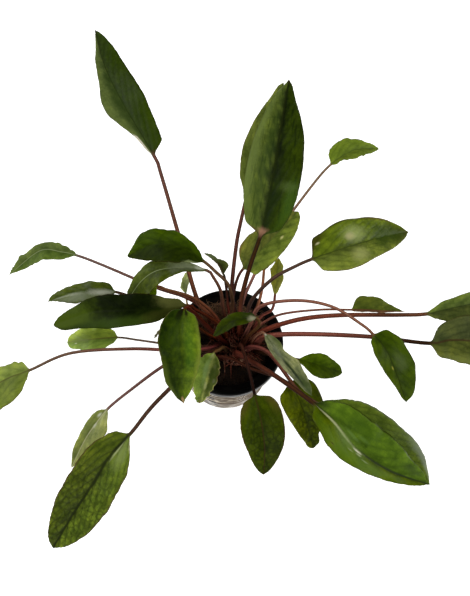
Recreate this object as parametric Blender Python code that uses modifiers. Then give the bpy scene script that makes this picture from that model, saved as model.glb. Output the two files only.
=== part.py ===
"""Potted cryptocoryne: a rosette of stalked leaves growing from a net pot that stands in a clear cup.

Metres, +Z up, origin at the centre of the cup's flat base. +X is to the right and +Y to the back.
The sizes and places below are in millimetres and are turned to metres by MM where shapes are built.
"""

import math
from dataclasses import dataclass

import bmesh
import bpy
from mathutils import Matrix, Vector

MM = 0.001
GAP = 0.3  # clearance between touching pieces
MERGE = 0.00005  # metres

# Clear cup
CUP_HEIGHT = 45.7
CUP_BASE_RADIUS = 20.5
CUP_TOP_RADIUS = 23.8
CUP_WALL = 0.9
CUP_FLOOR = 1.2
CUP_FOOT_ROUND = 1.2

# Net pot
RIM_RADIUS = 26.0
RIM_TOP = 50.0
RIM_DROP = 4.0  # height of the rim's outer band
RIM_BEVEL = 0.5
MOUTH_RADIUS = 23.0  # inner edge of the rim's flat top
MOUTH_DEPTH = 1.4
POT_TOP_RADIUS = 21.8
POT_BASE_RADIUS = 17.0
POT_WALL = 1.1
POT_BOTTOM = CUP_FLOOR + GAP
SLOT_COLUMNS = 10
SLOT_WIDTH = 3.2
SLOT_CUT = 9.0  # length of a wall cutter, through the wall
SLOT_ROWS = ((9.0, 24.0), (28.0, 42.0))  # bottom and top of each row of slots
FLOOR_SLOT_LENGTH = 9.0
FLOOR_SLOT_REACH = 10.0  # distance of a floor slot's middle from the axis
FLOOR_SLOT_CUT = 6.0

# Growing medium
WOOL_TOP = 46.5
WOOL_SHOULDER = 1.8  # how much higher the medium stands at the back left than in front
WOOL_WAIST = 24.0  # height of a ring halfway up its side
WOOL_STEPS = 24
WOOL_EDGE = 3.0  # how far below the top its side ends
WOOL_EDGE_DROP = 1.6
WOOL_RINGS = (1.0, 0.93, 0.72, 0.45)  # rings of the top surface, as parts of its radius

# Crown, the short stock that the stalks grow from
CROWN_CENTRE = (3.0, 1.0)
CROWN_RADIUS = 11.0
CROWN_TOP = 49.0
CROWN_DEPTH = 7.0
CROWN_DOME = ((0.5, 0.0), (0.88, -0.6), (1.0, -2.2))  # shares of the radius and heights from the top
CROWN_STUMP = 0.55  # share of the radius at its lower end
CROWN_SHOULDER = (0.92, 2.0)  # share of the radius, and height above the lower end
CROWN_STEPS = 20
CROWN_KNOBS = 5
KNOB_SIZE = 0.03  # as a part of the radius

# Distances of the stalk bases from the crown's middle
INNER = 3.8
MIDDLE = 6.6
OUTER = 9.5

ROUND_STEPS = 32  # straight sides in a full turn
STALK_TAPER = 0.72  # stalk radius at the blade, as a part of its radius at the crown
BLADE_THICKNESS = 0.8
BLADE_FOLD = 12.0  # degrees that both halves rise from the midrib
BLADE_OPEN = 0.2  # share of the blade over which the fold and the thickness come in
TIP_SHARE = 0.1  # share of the blade over which it thins to the tip
TIP_RADIUS = 0.25
FOOT_LIFT = 0.4  # height of a stalk's foot above the crown
STALK_EXTRA = 2  # cross sections of a stalk beyond one for each of its points
PATH_POINTS = 160
SECTION_POINTS = 8
LEFT_POINTS = (0, 1, 7)  # the points of a section that lie left of the midrib


@dataclass(frozen=True)
class Leaf:
    """One leaf: stalk and blade in one piece."""

    name: str
    root: tuple  # distance of the stalk's base from the crown's middle, and its bearing in degrees
    stalk: tuple  # points that the stalk passes through
    blade: tuple  # points along the midrib, from the blade's base to its tip
    halves: tuple  # half width left and right of the midrib, seen from the base
    outline: tuple  # where it is widest, roundness of the base, sharpness of the tip
    left_outline: tuple = None  # the left half's own outline, where it differs
    stations: int = 9  # cross sections along the blade
    thick: float = 1.0  # stalk radius at the crown


LEAVES = (
    Leaf(
        "leaf_01_back_left_tall", (MIDDLE, 148),
        ((-8, 9, 61), (-16, 13, 68), (-26, 35, 80), (-39, 66, 87)),
        ((-43, 74, 88), (-60, 98, 88), (-72, 119, 84), (-80, 141, 77)),
        (10.6, 10.6), (0.44, 0.35, 0.78), (0.37, 1.90, 2.40), stations=10, thick=1.15,
    ),
    Leaf(
        "leaf_02_left_far", (OUTER, 150),
        ((-12, 11, 60), (-22, 14, 68), (-36, 16, 72), (-62, 23, 76)),
        ((-73, 26, 76), (-81, 27, 76), (-91, 27, 74), (-105, 18, 62)),
        (4.8, 3.7), (0.35, 0.45, 0.60), stations=7, thick=0.85,
    ),
    Leaf(
        "leaf_03_left_grey", (OUTER, 172),
        ((-11, 6, 55), (-21, 9, 62), (-33, 9, 66), (-45, 11, 68)),
        ((-54, 13, 68), (-64, 12, 69), (-74, 11, 66), (-86, 8, 58)),
        (5.5, 4.8), (0.35, 0.40, 0.60), stations=7, thick=0.9,
    ),
    Leaf(
        "leaf_04_back_left_dark", (INNER, 100),
        ((0, 6, 66), (0, 11, 79), (-3, 16, 88), (-9, 19.5, 93)),
        ((-14, 23, 94), (-24, 29, 94), (-37, 30, 91), (-49, 26, 84)),
        (9.2, 8.1), (0.62, 1.05, 0.60), (0.45, 0.70, 0.75), stations=9, thick=1.0,
    ),
    Leaf(
        "leaf_05_back_left_bent", (MIDDLE, 124),
        ((-4, 11, 66), (-6, 16, 77), (-10, 20, 84)),
        ((-13, 22, 86), (-23, 22, 87), (-35, 20, 85), (-42, 16, 80), (-47, 10, 73)),
        (7.8, 5.2), (0.58, 1.00, 0.60), (0.62, 2.60, 0.55), stations=8, thick=0.95,
    ),
    Leaf(
        "leaf_06_left_long", (INNER, 180),
        ((-4, 3, 64), (-11, 5, 72), (-17, 6, 77)),
        ((-20, 7, 78), (-37, 3, 80), (-50, 1, 79), (-64, 0, 74), (-80, -5, 66)),
        (8.7, 7.8), (0.45, 0.60, 0.65), (0.52, 0.85, 0.60), stations=10, thick=1.05,
    ),
    Leaf(
        "leaf_07_back_small", (MIDDLE, 100),
        ((-1.5, 11, 66), (-3, 15.5, 76), (-4.2, 19, 81)),
        ((-5, 21, 84), (-7, 25, 86), (-11, 28, 87), (-15, 30, 86)),
        (1.2, 3.4), (0.22, 0.45, 1.40), stations=5, thick=0.8,
    ),
    Leaf(
        "leaf_08_left_bright", (OUTER, 193),
        ((-10, -4, 53), (-22, -6, 56), (-41, -6, 58)),
        ((-51, -6, 59), (-62, -8, 59), (-74, -9, 53)),
        (5.6, 7.4), (0.45, 0.60, 0.50), stations=7, thick=0.65,
    ),
    Leaf(
        "leaf_09_left_outer", (MIDDLE, 196),
        ((-9, -6, 57), (-22, -10, 62), (-44, -13, 67), (-71, -18, 67)),
        ((-89, -26, 60), (-98, -30, 58), (-108, -35, 53), (-125, -42, 43)),
        (12.6, 7.9), (0.40, 0.30, 0.60), (0.45, 0.60, 0.60), stations=8, thick=0.9,
    ),
    Leaf(
        "leaf_10_over_pot", (INNER, 220),
        ((-4, -2, 61), (-11, 1, 70), (-17, 4, 78)),
        ((-21, 4, 83), (-22, -7, 86), (-20, -18, 84), (-19, -28, 79), (-17, -37, 72)),
        (9.0, 10.0), (0.35, 0.60, 0.70), stations=9, thick=1.1,
    ),
    Leaf(
        "leaf_11_pale_drying", (MIDDLE, 248),
        ((-2, -6, 61), (-4, -9, 66)),
        ((-6, -11, 68), (-8, -19, 70), (-9, -27, 68), (-10, -33, 62)),
        (6.0, 6.5), (0.35, 0.80, 0.75), stations=7, thick=0.9,
    ),
    Leaf(
        "leaf_12_withered", (MIDDLE, 172),
        ((-9, 0, 58), (-16, 2, 64)),
        ((-22, 2, 66), (-27, 0, 67), (-32, -3, 66), (-34, -6, 64)),
        (2.5, 4.5), (0.40, 0.50, 1.20), stations=5, thick=0.8,
    ),
    Leaf(
        "leaf_13_front_left_big", (MIDDLE, 222),
        ((-6, -7, 58), (-12, -12, 62), (-18, -20, 65), (-32, -39, 67)),
        ((-39, -51, 65), (-48, -63, 62), (-53, -73, 58), (-61, -87, 51), (-69, -102, 42)),
        (13.6, 12.0), (0.50, 0.45, 0.58), (0.47, 0.75, 0.62), stations=10, thick=1.2,
    ),
    Leaf(
        "leaf_14_front_left_pale", (OUTER, 214),
        ((-9, -6, 53), (-17, -9, 55), (-29, -17, 57), (-43, -30, 56)),
        ((-52, -39, 54), (-57, -47, 53), (-61, -54, 50), (-66, -66, 44)),
        (6.8, 3.9), (0.35, 0.60, 0.70), stations=7, thick=0.9,
    ),
    Leaf(
        "leaf_15_back_upright_big", (INNER, 60),
        ((4, 7, 70), (4, 12, 86), (6, 22, 97)),
        ((9, 34, 103), (11, 46, 107), (12, 59, 111), (13, 78, 112), (14, 94, 110), (15, 112, 105)),
        (12.4, 12.8), (0.36, 0.38, 0.88), stations=10, thick=1.3,
    ),
    Leaf(
        "leaf_16_back_behind", (MIDDLE, 76),
        ((1, 12, 66), (-1, 17, 79), (-1, 34, 91), (0, 45, 94)),
        ((1, 54, 95), (3, 69, 97), (5, 87, 96), (9, 102, 93), (13, 118, 88)),
        (6.6, 8.3), (0.37, 0.55, 0.80), stations=9, thick=1.1,
    ),
    Leaf(
        "leaf_17_back_light", (OUTER, 106),
        ((0, 12, 62), (0, 17, 71), (1, 22, 78)),
        ((3, 26, 81), (9, 33, 84), (17, 44, 83), (25.5, 57, 80)),
        (8.6, 8.4), (0.35, 0.40, 0.65), stations=8, thick=0.9,
    ),
    Leaf(
        "leaf_18_back_right_small", (OUTER, 84),
        ((4, 14, 60), (7, 23, 69), (15.8, 44.6, 75), (30.4, 70.4, 78)),
        ((39, 83, 79), (48, 91, 79), (55, 94, 77), (62, 96, 74)),
        (6.8, 4.2), (0.40, 0.50, 0.90), stations=7, thick=0.8,
    ),
    Leaf(
        "leaf_19_right_broad", (MIDDLE, 50),
        ((7.4, 9.6, 61), (8.8, 15.2, 71), (17, 23.3, 80), (27, 29, 85)),
        ((33.3, 32.4, 86), (42, 36.4, 87), (51, 41, 86), (62, 47, 82), (78, 55, 75)),
        (12.8, 11.2), (0.38, 0.38, 0.75), stations=10, thick=1.05,
    ),
    Leaf(
        "leaf_20_right_olive", (OUTER, 40),
        ((14, 10, 64), (18, 11.5, 69), (19, 14, 72)),
        ((19, 18, 74), (19, 24, 75), (19, 36, 73)),
        (3.1, 2.9), (0.50, 0.70, 0.80), stations=6, thick=0.85,
    ),
    Leaf(
        "leaf_21_back_hidden", (OUTER, 62),
        ((10, 12, 58), (12, 16, 63), (13, 23, 67)),
        ((13, 31, 68), (13, 39, 69), (15, 51, 66)),
        (4.8, 4.5), (0.50, 0.55, 0.60), stations=5, thick=0.9,
    ),
    Leaf(
        "leaf_22_right_folded", (MIDDLE, 24),
        ((14, 7.4, 59), (23, 11.3, 66), (40, 13.2, 73)),
        ((54, 13.8, 76), (61, 14.2, 77), (68, 14.7, 76.5), (79, 15.8, 75.5)),
        (6.9, 1.6), (0.30, 0.40, 1.20), stations=7, thick=0.65,
    ),
    Leaf(
        "leaf_23_right_far_upper", (OUTER, 20),
        ((17, 6, 57), (32, 10.3, 64.5), (50, 13.2, 68), (77, 16, 69)),
        ((89, 18, 68), (98, 21, 68), (109, 25, 67), (124, 30, 63), (142, 36, 55)),
        (5.9, 9.5), (0.40, 0.90, 0.65), stations=8, thick=1.25,
    ),
    Leaf(
        "leaf_24_right_far_lower", (OUTER, 0),
        ((18, 3, 57), (37, 3.2, 66), (65, 3.5, 71)),
        ((91, 3, 72), (101, 5, 74), (113, 6, 73), (128, 7, 69), (146, 9, 61)),
        (12.6, 12.5), (0.45, 0.42, 0.60), (0.45, 0.55, 0.60), stations=9, thick=1.25,
    ),
    Leaf(
        "leaf_25_right_arched", (INNER, 20),
        ((9, 5, 63), (13, 11, 76), (29, 12, 87), (45, 10, 89), (59, 4, 86)),
        ((64, 1, 84), (71, -6, 83), (77, -15, 77), (83, -25, 69)),
        (10.0, 5.3), (0.36, 0.42, 0.85), (0.42, 0.45, 0.65), stations=8, thick=0.9,
    ),
    Leaf(
        "leaf_26_right_small", (OUTER, 338),
        ((16, -5, 56), (24.5, -7.8, 60)),
        ((33, -8, 61), (43, -10, 62), (54, -11, 57)),
        (5.6, 5.4), (0.45, 0.60, 0.65), stations=6, thick=0.8,
    ),
    Leaf(
        "leaf_27_turned_over", (MIDDLE, 354),
        ((12, 0, 64), (14, 0, 70)),
        ((16, -1, 73), (22, -9, 76), (30, -17, 76), (40, -27, 71)),
        (4.6, 3.4), (0.45, 0.60, 0.65), stations=7, thick=0.9,
    ),
    Leaf(
        "leaf_28_front_right_olive", (OUTER, 238),
        ((-4, -9, 56), (3, -11, 60), (12, -15, 62)),
        ((29, -20, 63), (36, -29, 61), (40, -37, 55), (44, -45, 47)),
        (10.0, 9.5), (0.28, 0.42, 0.90), stations=7, thick=0.85,
    ),
    Leaf(
        "leaf_29_front_right_big", (MIDDLE, 284),
        ((5, -8, 61), (11, -13, 68), (24, -22, 77)),
        ((40, -33, 82), (50, -41, 84), (61, -51, 80), (77, -58, 73), (96, -60, 62)),
        (14.2, 8.7), (0.26, 0.42, 0.98), (0.45, 0.65, 0.65), stations=10, thick=1.4,
    ),
    Leaf(
        "leaf_30_front_right_behind", (MIDDLE, 324),
        ((12, -4, 60), (20, -8, 64), (33, -23, 66)),
        ((42, -29, 67), (58, -38, 69), (78, -48, 63), (98, -58, 52)),
        (13.3, 9.0), (0.47, 0.60, 0.56), stations=10, thick=1.1,
    ),
    Leaf(
        "leaf_31_front", (INNER, 300),
        ((6, -5, 64), (8, -12, 73), (12, -25, 80)),
        ((14, -31, 79), (18, -42, 77), (21, -53, 71), (22, -63, 63)),
        (10.5, 9.7), (0.35, 0.33, 0.70), stations=9, thick=0.95,
    ),
    Leaf(
        "leaf_32_over_crown", (INNER, 340),
        ((9, 0, 64), (13, 1, 78)),
        ((11, 2, 87), (6, 0, 90), (0, -2, 89), (-7, -7, 81)),
        (3.0, 3.4), (0.45, 0.50, 0.70), stations=6, thick=0.9,
    ),
    Leaf(
        "leaf_33_shoot", (OUTER, 128),
        ((-13, 8.5, 54), (-20, 11.5, 60)),
        ((-22, 16, 68), (-23, 20, 70), (-21, 27, 70)),
        (2.0, 2.1), (0.50, 0.60, 0.60), stations=4, thick=0.6,
    ),
    Leaf(
        "leaf_34_left_tucked", (INNER, 140),
        ((-10, 9, 68), (-19, 12.5, 74), (-31, 14, 77)),
        ((-35, 15, 77), (-39, 12, 75), (-44, 9, 72), (-49, 7, 67)),
        (4.6, 5.2), (0.35, 0.45, 0.60), stations=5, thick=0.9,
    ),
)


def clear_scene():
    """Remove the objects that a new file starts with."""
    for obj in list(bpy.data.objects):
        bpy.data.objects.remove(obj, do_unlink=True)


def collection(name):
    """Return a new collection linked to the scene."""
    made = bpy.data.collections.new(name)
    bpy.context.scene.collection.children.link(made)
    return made


def material(name, colour, roughness, alpha=1.0):
    """Return a plain material of one colour."""
    made = bpy.data.materials.new(name)
    made.use_nodes = True
    shader = made.node_tree.nodes["Principled BSDF"]
    shader.inputs["Base Color"].default_value = (*colour, 1.0)
    shader.inputs["Roughness"].default_value = roughness
    shader.inputs["Alpha"].default_value = alpha
    return made


def add_object(name, mesh, target, finish=None):
    """Link a mesh to a collection as an object of the given name."""
    obj = bpy.data.objects.new(name, mesh)
    if finish is not None:
        obj.data.materials.append(finish)
    target.objects.link(obj)
    return obj


def turned(name, profile, target, finish):
    """Turn a profile of (radius, height) points about the Z axis.

    The profile starts at the axis on the upper side and comes back to the axis below.
    """
    mesh = bpy.data.meshes.new(name)
    points = [(radius * MM, 0.0, height * MM) for radius, height in profile]
    edges = [(i, i + 1) for i in range(len(points) - 1)]
    mesh.from_pydata(points, edges, [])
    obj = add_object(name, mesh, target, finish)
    screw = obj.modifiers.new("Turn", "SCREW")
    screw.steps = screw.render_steps = ROUND_STEPS
    screw.use_merge_vertices = True
    screw.merge_threshold = MERGE
    screw.use_smooth_shade = True
    return obj


def build_cup(target, finish):
    """The clear cup: a tapered tumbler with a flat base and a small foot radius."""
    profile = (
        (0.0, CUP_FLOOR),
        (CUP_BASE_RADIUS - CUP_WALL, CUP_FLOOR),
        (CUP_TOP_RADIUS - CUP_WALL, CUP_HEIGHT),
        (CUP_TOP_RADIUS, CUP_HEIGHT),
        (CUP_BASE_RADIUS, CUP_FOOT_ROUND),
        (CUP_BASE_RADIUS - CUP_FOOT_ROUND, 0.0),
        (0.0, 0.0),
    )
    return turned("clear_cup", profile, target, finish)


def hide_cutter(obj):
    """Mark an object as a cutter."""
    obj.hide_render = True
    obj.display_type = "WIRE"


def add_cutting_box(shape, size, centre, turn):
    """Add a box to a cutter and turn it about the Z axis."""
    corners = bmesh.ops.create_cube(shape, size=1.0)["verts"]
    bmesh.ops.scale(shape, vec=Vector(size) * MM, verts=corners)
    bmesh.ops.translate(shape, vec=Vector(centre) * MM, verts=corners)
    bmesh.ops.rotate(shape, matrix=Matrix.Rotation(turn, 3, "Z"), verts=corners)


def slot_cutters(target):
    """One mesh that holds every slot of the net pot's wall and floor."""
    shape = bmesh.new()
    step = math.tau / SLOT_COLUMNS
    reach = (POT_TOP_RADIUS + POT_BASE_RADIUS) / 2
    for bottom, top in SLOT_ROWS:
        for i in range(SLOT_COLUMNS):
            size = (SLOT_CUT, SLOT_WIDTH, top - bottom)
            add_cutting_box(shape, size, (reach, 0.0, (bottom + top) / 2), i * step)
    for i in range(SLOT_COLUMNS // 2):
        size = (FLOOR_SLOT_LENGTH, SLOT_WIDTH, FLOOR_SLOT_CUT)
        add_cutting_box(shape, size, (FLOOR_SLOT_REACH, 0.0, POT_BOTTOM), (2 * i + 1) * step)
    mesh = bpy.data.meshes.new("slot_cutters")
    shape.to_mesh(mesh)
    shape.free()
    cutter = add_object("slot_cutters", mesh, target)
    hide_cutter(cutter)
    return cutter


def cut(obj, cutter):
    """Take a cutter's shape out of an object."""
    boolean = obj.modifiers.new("Cut", "BOOLEAN")
    boolean.operation = "DIFFERENCE"
    boolean.solver = "EXACT"
    boolean.object = cutter


def build_net_pot(target, cutters, finish):
    """The black basket: a rim band that hangs on the cup, a tapered slotted wall and a slotted floor."""
    floor_top = POT_BOTTOM + POT_WALL
    profile = (
        (0.0, floor_top),
        (POT_BASE_RADIUS - POT_WALL, floor_top),
        (POT_TOP_RADIUS - POT_WALL, RIM_TOP - MOUTH_DEPTH),
        (MOUTH_RADIUS, RIM_TOP),
        (RIM_RADIUS - RIM_BEVEL, RIM_TOP),
        (RIM_RADIUS, RIM_TOP - RIM_BEVEL),
        (RIM_RADIUS, RIM_TOP - RIM_DROP),
        (POT_TOP_RADIUS, RIM_TOP - RIM_DROP),
        (POT_BASE_RADIUS, POT_BOTTOM),
        (0.0, POT_BOTTOM),
    )
    pot = turned("net_pot", profile, target, finish)
    cut(pot, slot_cutters(cutters))
    return pot


def ring_loft(name, rings, target, finish):
    """Join rings of equally many points with quads and close both ends."""
    mesh = bpy.data.meshes.new(name)
    shape = bmesh.new()
    loops = [[shape.verts.new(Vector(point) * MM) for point in ring] for ring in rings]
    count = len(loops[0])
    for lower, upper in zip(loops, loops[1:]):
        for i in range(count):
            j = (i + 1) % count
            shape.faces.new((lower[i], lower[j], upper[j], upper[i]))
    shape.faces.new(list(reversed(loops[0])))
    shape.faces.new(loops[-1])
    bmesh.ops.triangulate(shape, faces=[face for face in shape.faces if len(face.verts) > 4])
    for face in shape.faces:
        face.smooth = True
    shape.to_mesh(mesh)
    shape.free()
    return add_object(name, mesh, target, finish)


def circle(radius, steps):
    """Points (x, y) of a circle about the Z axis."""
    angles = [math.tau * i / steps for i in range(steps)]
    return [(radius * math.cos(angle), radius * math.sin(angle)) for angle in angles]


def wool_surface(x, y):
    """Height of the medium's lumpy top at a point."""
    slope = WOOL_SHOULDER * (y - x) / RIM_RADIUS
    broad = 0.5 * math.sin(0.55 * x + 1.3) * math.cos(0.48 * y - 0.6)
    fine = 0.3 * math.sin(1.1 * x + 0.9 * y)
    return WOOL_TOP + slope + broad + fine


def wool_radius(height):
    """Radius of the medium's side at a height, clear of the pot's flat-sided wall."""
    share = (height - POT_BOTTOM) / (RIM_TOP - MOUTH_DEPTH - POT_BOTTOM)
    wall = POT_BASE_RADIUS + (POT_TOP_RADIUS - POT_BASE_RADIUS) * share - POT_WALL
    return wall * math.cos(math.pi / ROUND_STEPS) - 2 * GAP


def build_rock_wool(target, cutters, finish):
    """The plug of medium, fitted to the pot's inside, with an uneven top and a seat for the crown."""
    rings = []
    for height in (POT_BOTTOM + POT_WALL + GAP, WOOL_WAIST):
        rings.append([(x, y, height) for x, y in circle(wool_radius(height), WOOL_STEPS)])
    for share in WOOL_RINGS:
        drop = WOOL_EDGE_DROP if share == 1.0 else 0.0
        points = circle(wool_radius(WOOL_TOP - WOOL_EDGE) * share, WOOL_STEPS)
        rings.append([(x, y, wool_surface(x, y) - drop) for x, y in points])
    wool = ring_loft("rock_wool", rings, target, finish)
    seat = crown_shape("crown_seat", CROWN_RADIUS + GAP, CROWN_DEPTH + GAP, cutters, None)
    hide_cutter(seat)
    cut(wool, seat)
    return wool


def crown_shape(name, radius, depth, target, finish):
    """A low knobbly dome on a short stump."""
    rings = []
    shoulder, rise = CROWN_SHOULDER
    for share, height in ((CROWN_STUMP, -depth), (shoulder, rise - depth), *reversed(CROWN_DOME)):
        ring = []
        for i in range(CROWN_STEPS):
            angle = math.tau * i / CROWN_STEPS
            reach = radius * share * (1.0 + KNOB_SIZE * math.cos(CROWN_KNOBS * angle))
            ring.append((
                CROWN_CENTRE[0] + reach * math.cos(angle),
                CROWN_CENTRE[1] + reach * math.sin(angle),
                CROWN_TOP + height,
            ))
        rings.append(ring)
    return ring_loft(name, rings, target, finish)


def crown_drop(share):
    """Height of the crown's dome from its top, at a share of its radius."""
    for (inner, high), (outer, low) in zip(CROWN_DOME, CROWN_DOME[1:]):
        if share <= outer:
            return high + (low - high) * max(share - inner, 0.0) / (outer - inner)
    return CROWN_DOME[-1][1]


def leaf_foot(leaf):
    """Where a leaf's stalk leaves the crown."""
    reach, bearing = leaf.root
    angle = math.radians(bearing)
    return Vector((
        CROWN_CENTRE[0] + reach * math.cos(angle),
        CROWN_CENTRE[1] + reach * math.sin(angle),
        CROWN_TOP + crown_drop(reach / CROWN_RADIUS) + FOOT_LIFT,
    ))


def smooth_path(points):
    """Many points on a smooth curve through the given ones."""
    known = [Vector(point) for point in points]
    known = [2 * known[0] - known[1], *known, 2 * known[-1] - known[-2]]
    spans = len(known) - 3
    path = []
    for i in range(PATH_POINTS):
        place = i / (PATH_POINTS - 1) * spans
        k = min(int(place), spans - 1)
        t = place - k
        a, b, c, d = known[k:k + 4]
        cubic = (3 * b - a - 3 * c + d) * t ** 3
        path.append(0.5 * (2 * b + (c - a) * t + (2 * a - 5 * b + 4 * c - d) * t ** 2 + cubic))
    return path


def chord_distance(point, start, end):
    """Distance of a point from the straight line between two others."""
    along = end - start
    return (point - start).cross(along).length / along.length


def bend_places(path, count):
    """Indices of the path's points that keep its bends best, its ends among them."""
    kept = [0, len(path) - 1]
    while len(kept) < count:
        worst = max(
            (chord_distance(path[i], path[low], path[high]), i)
            for low, high in zip(kept, kept[1:])
            for i in range(low + 1, high)
        )
        kept = sorted([*kept, worst[1]])
    return kept


def at_shares(path, shares):
    """Points of a path at given shares of its length."""
    lengths = [0.0]
    for before, after in zip(path, path[1:]):
        lengths.append(lengths[-1] + (after - before).length)
    found = []
    for share in shares:
        wanted = share * lengths[-1]
        k = max(i for i in range(len(path) - 1) if lengths[i] <= wanted)
        found.append(path[k].lerp(path[k + 1], (wanted - lengths[k]) / (lengths[k + 1] - lengths[k])))
    return found


def half_width(share, outline):
    """Width of a blade at a share of its length, as a part of its greatest width."""
    widest, base, tip = outline
    if share <= widest:
        return math.sin(math.pi / 2 * share / widest) ** base
    return max(math.cos(math.pi / 2 * (share - widest) / (1 - widest)), 0.0) ** tip


@dataclass(frozen=True)
class Section:
    """One cross section of a leaf."""

    centre: Vector
    left: float  # half width to the left
    right: float
    half_thickness: float
    openness: float  # 0 on the round stalk, 1 on the open blade


def stalk_sections(leaf, path):
    """The stalk's cross sections, from the crown to just before the blade."""
    sections = []
    for i in bend_places(path, len(leaf.stalk) + STALK_EXTRA + 1)[:-1]:
        radius = leaf.thick * (1.0 + (STALK_TAPER - 1.0) * i / (len(path) - 1))
        sections.append(Section(path[i], radius, radius, radius, 0.0))
    return sections


def blade_sections(leaf, path):
    """The blade's cross sections from its base to its tip, closer together at both ends."""
    thin = STALK_TAPER * leaf.thick
    shares = [0.5 - 0.5 * math.cos(math.pi * i / leaf.stations) for i in range(leaf.stations + 1)]
    sections = []
    for share, centre in zip(shares, at_shares(path, shares)):
        openness = min(share / BLADE_OPEN, 1.0)
        least = thin if share < 0.5 else TIP_RADIUS
        left = max(leaf.halves[0] * half_width(share, leaf.left_outline or leaf.outline), least)
        right = max(leaf.halves[1] * half_width(share, leaf.outline), least)
        half_thickness = thin + (BLADE_THICKNESS / 2 - thin) * openness
        half_thickness = max(half_thickness * min((1.0 - share) / TIP_SHARE, 1.0), TIP_RADIUS)
        sections.append(Section(centre, left, right, half_thickness, openness))
    return sections


def section_sides(tangents, joint):
    """The direction to the left at every section: level along the blade, carried back down the stalk."""
    up = Vector((0.0, 0.0, 1.0))
    sides = [up.cross(tangent).normalized() for tangent in tangents[joint:]]
    for tangent in reversed(tangents[:joint]):
        sides.insert(0, (sides[0] - tangent * sides[0].dot(tangent)).normalized())
    return sides


def build_leaf(leaf, target, finish):
    """Loft a leaf from the crown to the blade's tip."""
    path = smooth_path([leaf_foot(leaf), *leaf.stalk, *leaf.blade])
    blade_base = Vector(leaf.blade[0])
    joint = min(range(len(path)), key=lambda i: (path[i] - blade_base).length)
    stalk = stalk_sections(leaf, path[:joint + 1])
    sections = [*stalk, *blade_sections(leaf, path[joint:])]
    centres = [section.centre for section in sections]
    before = [centres[0], *centres[:-1]]
    after = [*centres[1:], centres[-1]]
    tangents = [(b - a).normalized() for a, b in zip(before, after)]
    tangents[0] = Vector((0.0, 0.0, 1.0))  # the foot of the stalk ends level on the crown
    rise = math.tan(math.radians(BLADE_FOLD))
    rings = []
    for section, tangent, side in zip(sections, tangents, section_sides(tangents, len(stalk))):
        normal = tangent.cross(side).normalized()
        ring = []
        for k in range(SECTION_POINTS):
            angle = math.tau * k / SECTION_POINTS
            across = math.cos(angle) * (section.left if k in LEFT_POINTS else section.right)
            lift = section.half_thickness * math.sin(angle) + rise * section.openness * abs(across)
            ring.append(section.centre + side * across + normal * lift)
        rings.append(ring)
    return ring_loft(leaf.name, rings, target, finish)


def main():
    """Build every piece."""
    clear_scene()
    parts = collection("potted_cryptocoryne")
    cutters = collection("cutters")
    clear_plastic = material("clear_plastic", (0.80, 0.80, 0.78), roughness=0.08, alpha=0.35)
    black_plastic = material("black_plastic", (0.012, 0.012, 0.013), roughness=0.35)
    medium = material("rock_wool", (0.10, 0.06, 0.03), roughness=0.95)
    stock = material("plant_stock", (0.16, 0.06, 0.04), roughness=0.6)
    leaf_green = material("leaf_green", (0.07, 0.14, 0.02), roughness=0.38)
    build_cup(parts, clear_plastic)
    build_net_pot(parts, cutters, black_plastic)
    build_rock_wool(parts, cutters, medium)
    crown_shape("crown", CROWN_RADIUS, CROWN_DEPTH, parts, stock)
    for leaf in LEAVES:
        build_leaf(leaf, parts, leaf_green)


main()
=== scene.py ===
"""Potted cryptocoryne: the dressed model, its camera and its studio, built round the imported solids.

Metres, +Z up, origin at the centre of the cup's flat base. Sizes and places are written in millimetres
and turned to metres by MM where meshes are made.
"""

import logging
import math
from dataclasses import dataclass
from enum import Enum
from functools import partial
from typing import Any, Callable, Iterable, Sequence

import bmesh
import bpy
import numpy as np
from bpy.types import Material, Mesh, NodeSocket, NodeTree, Object
from mathutils import Matrix, Vector, noise


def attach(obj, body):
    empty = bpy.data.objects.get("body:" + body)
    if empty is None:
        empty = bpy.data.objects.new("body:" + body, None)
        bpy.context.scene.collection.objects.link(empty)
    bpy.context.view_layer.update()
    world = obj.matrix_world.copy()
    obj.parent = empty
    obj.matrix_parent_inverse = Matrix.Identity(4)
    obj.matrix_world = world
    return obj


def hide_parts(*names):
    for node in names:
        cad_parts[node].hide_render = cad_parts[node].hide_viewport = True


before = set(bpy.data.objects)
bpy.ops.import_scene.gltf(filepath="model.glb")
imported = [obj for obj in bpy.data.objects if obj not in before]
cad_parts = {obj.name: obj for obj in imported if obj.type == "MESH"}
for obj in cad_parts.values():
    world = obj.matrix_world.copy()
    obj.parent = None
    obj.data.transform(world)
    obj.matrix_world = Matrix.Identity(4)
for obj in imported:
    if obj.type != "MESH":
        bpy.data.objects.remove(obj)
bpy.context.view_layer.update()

LOG = logging.getLogger("potted_cryptocoryne")

MM = 0.001
BODY = "root"
SEED = 7
ROUND_STEPS = 96  # straight sides in a full turn
WHITE = (1.0, 1.0, 1.0, 1.0)

CROWN_CENTRE = (3.0, 1.0)
CROWN_RADIUS = 11.0
CROWN_TOP = 49.0
INNER = 3.8  # distances of the stalk feet from the crown's middle
MIDDLE = 6.6
OUTER = 9.5

VEIN_BEND = 0.045  # what a side vein's rise gains with the square of its distance from the midrib
VEIN_WANDER = 3.0  # mm, how far the veins stray from their even rows
VEIN_STAGGER = 0.45  # of a row, how much higher the right half's veins stand than the left's
MARGIN_SHARES = (0.03, 0.08, 0.16, 0.25, 0.35, 0.45, 0.55, 0.65, 0.75, 0.84, 0.92, 0.97, 1.0)

Point = tuple[float, float, float]
AddNode = Callable[..., NodeSocket]


class Slot(Enum):
    """Material slots of the record."""

    CLEAR = "clear_plastic"
    BLACK = "black_plastic"
    WOOL = "rock_wool"
    STOCK = "plant_stock"
    LEAF = "leaf_green"


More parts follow.
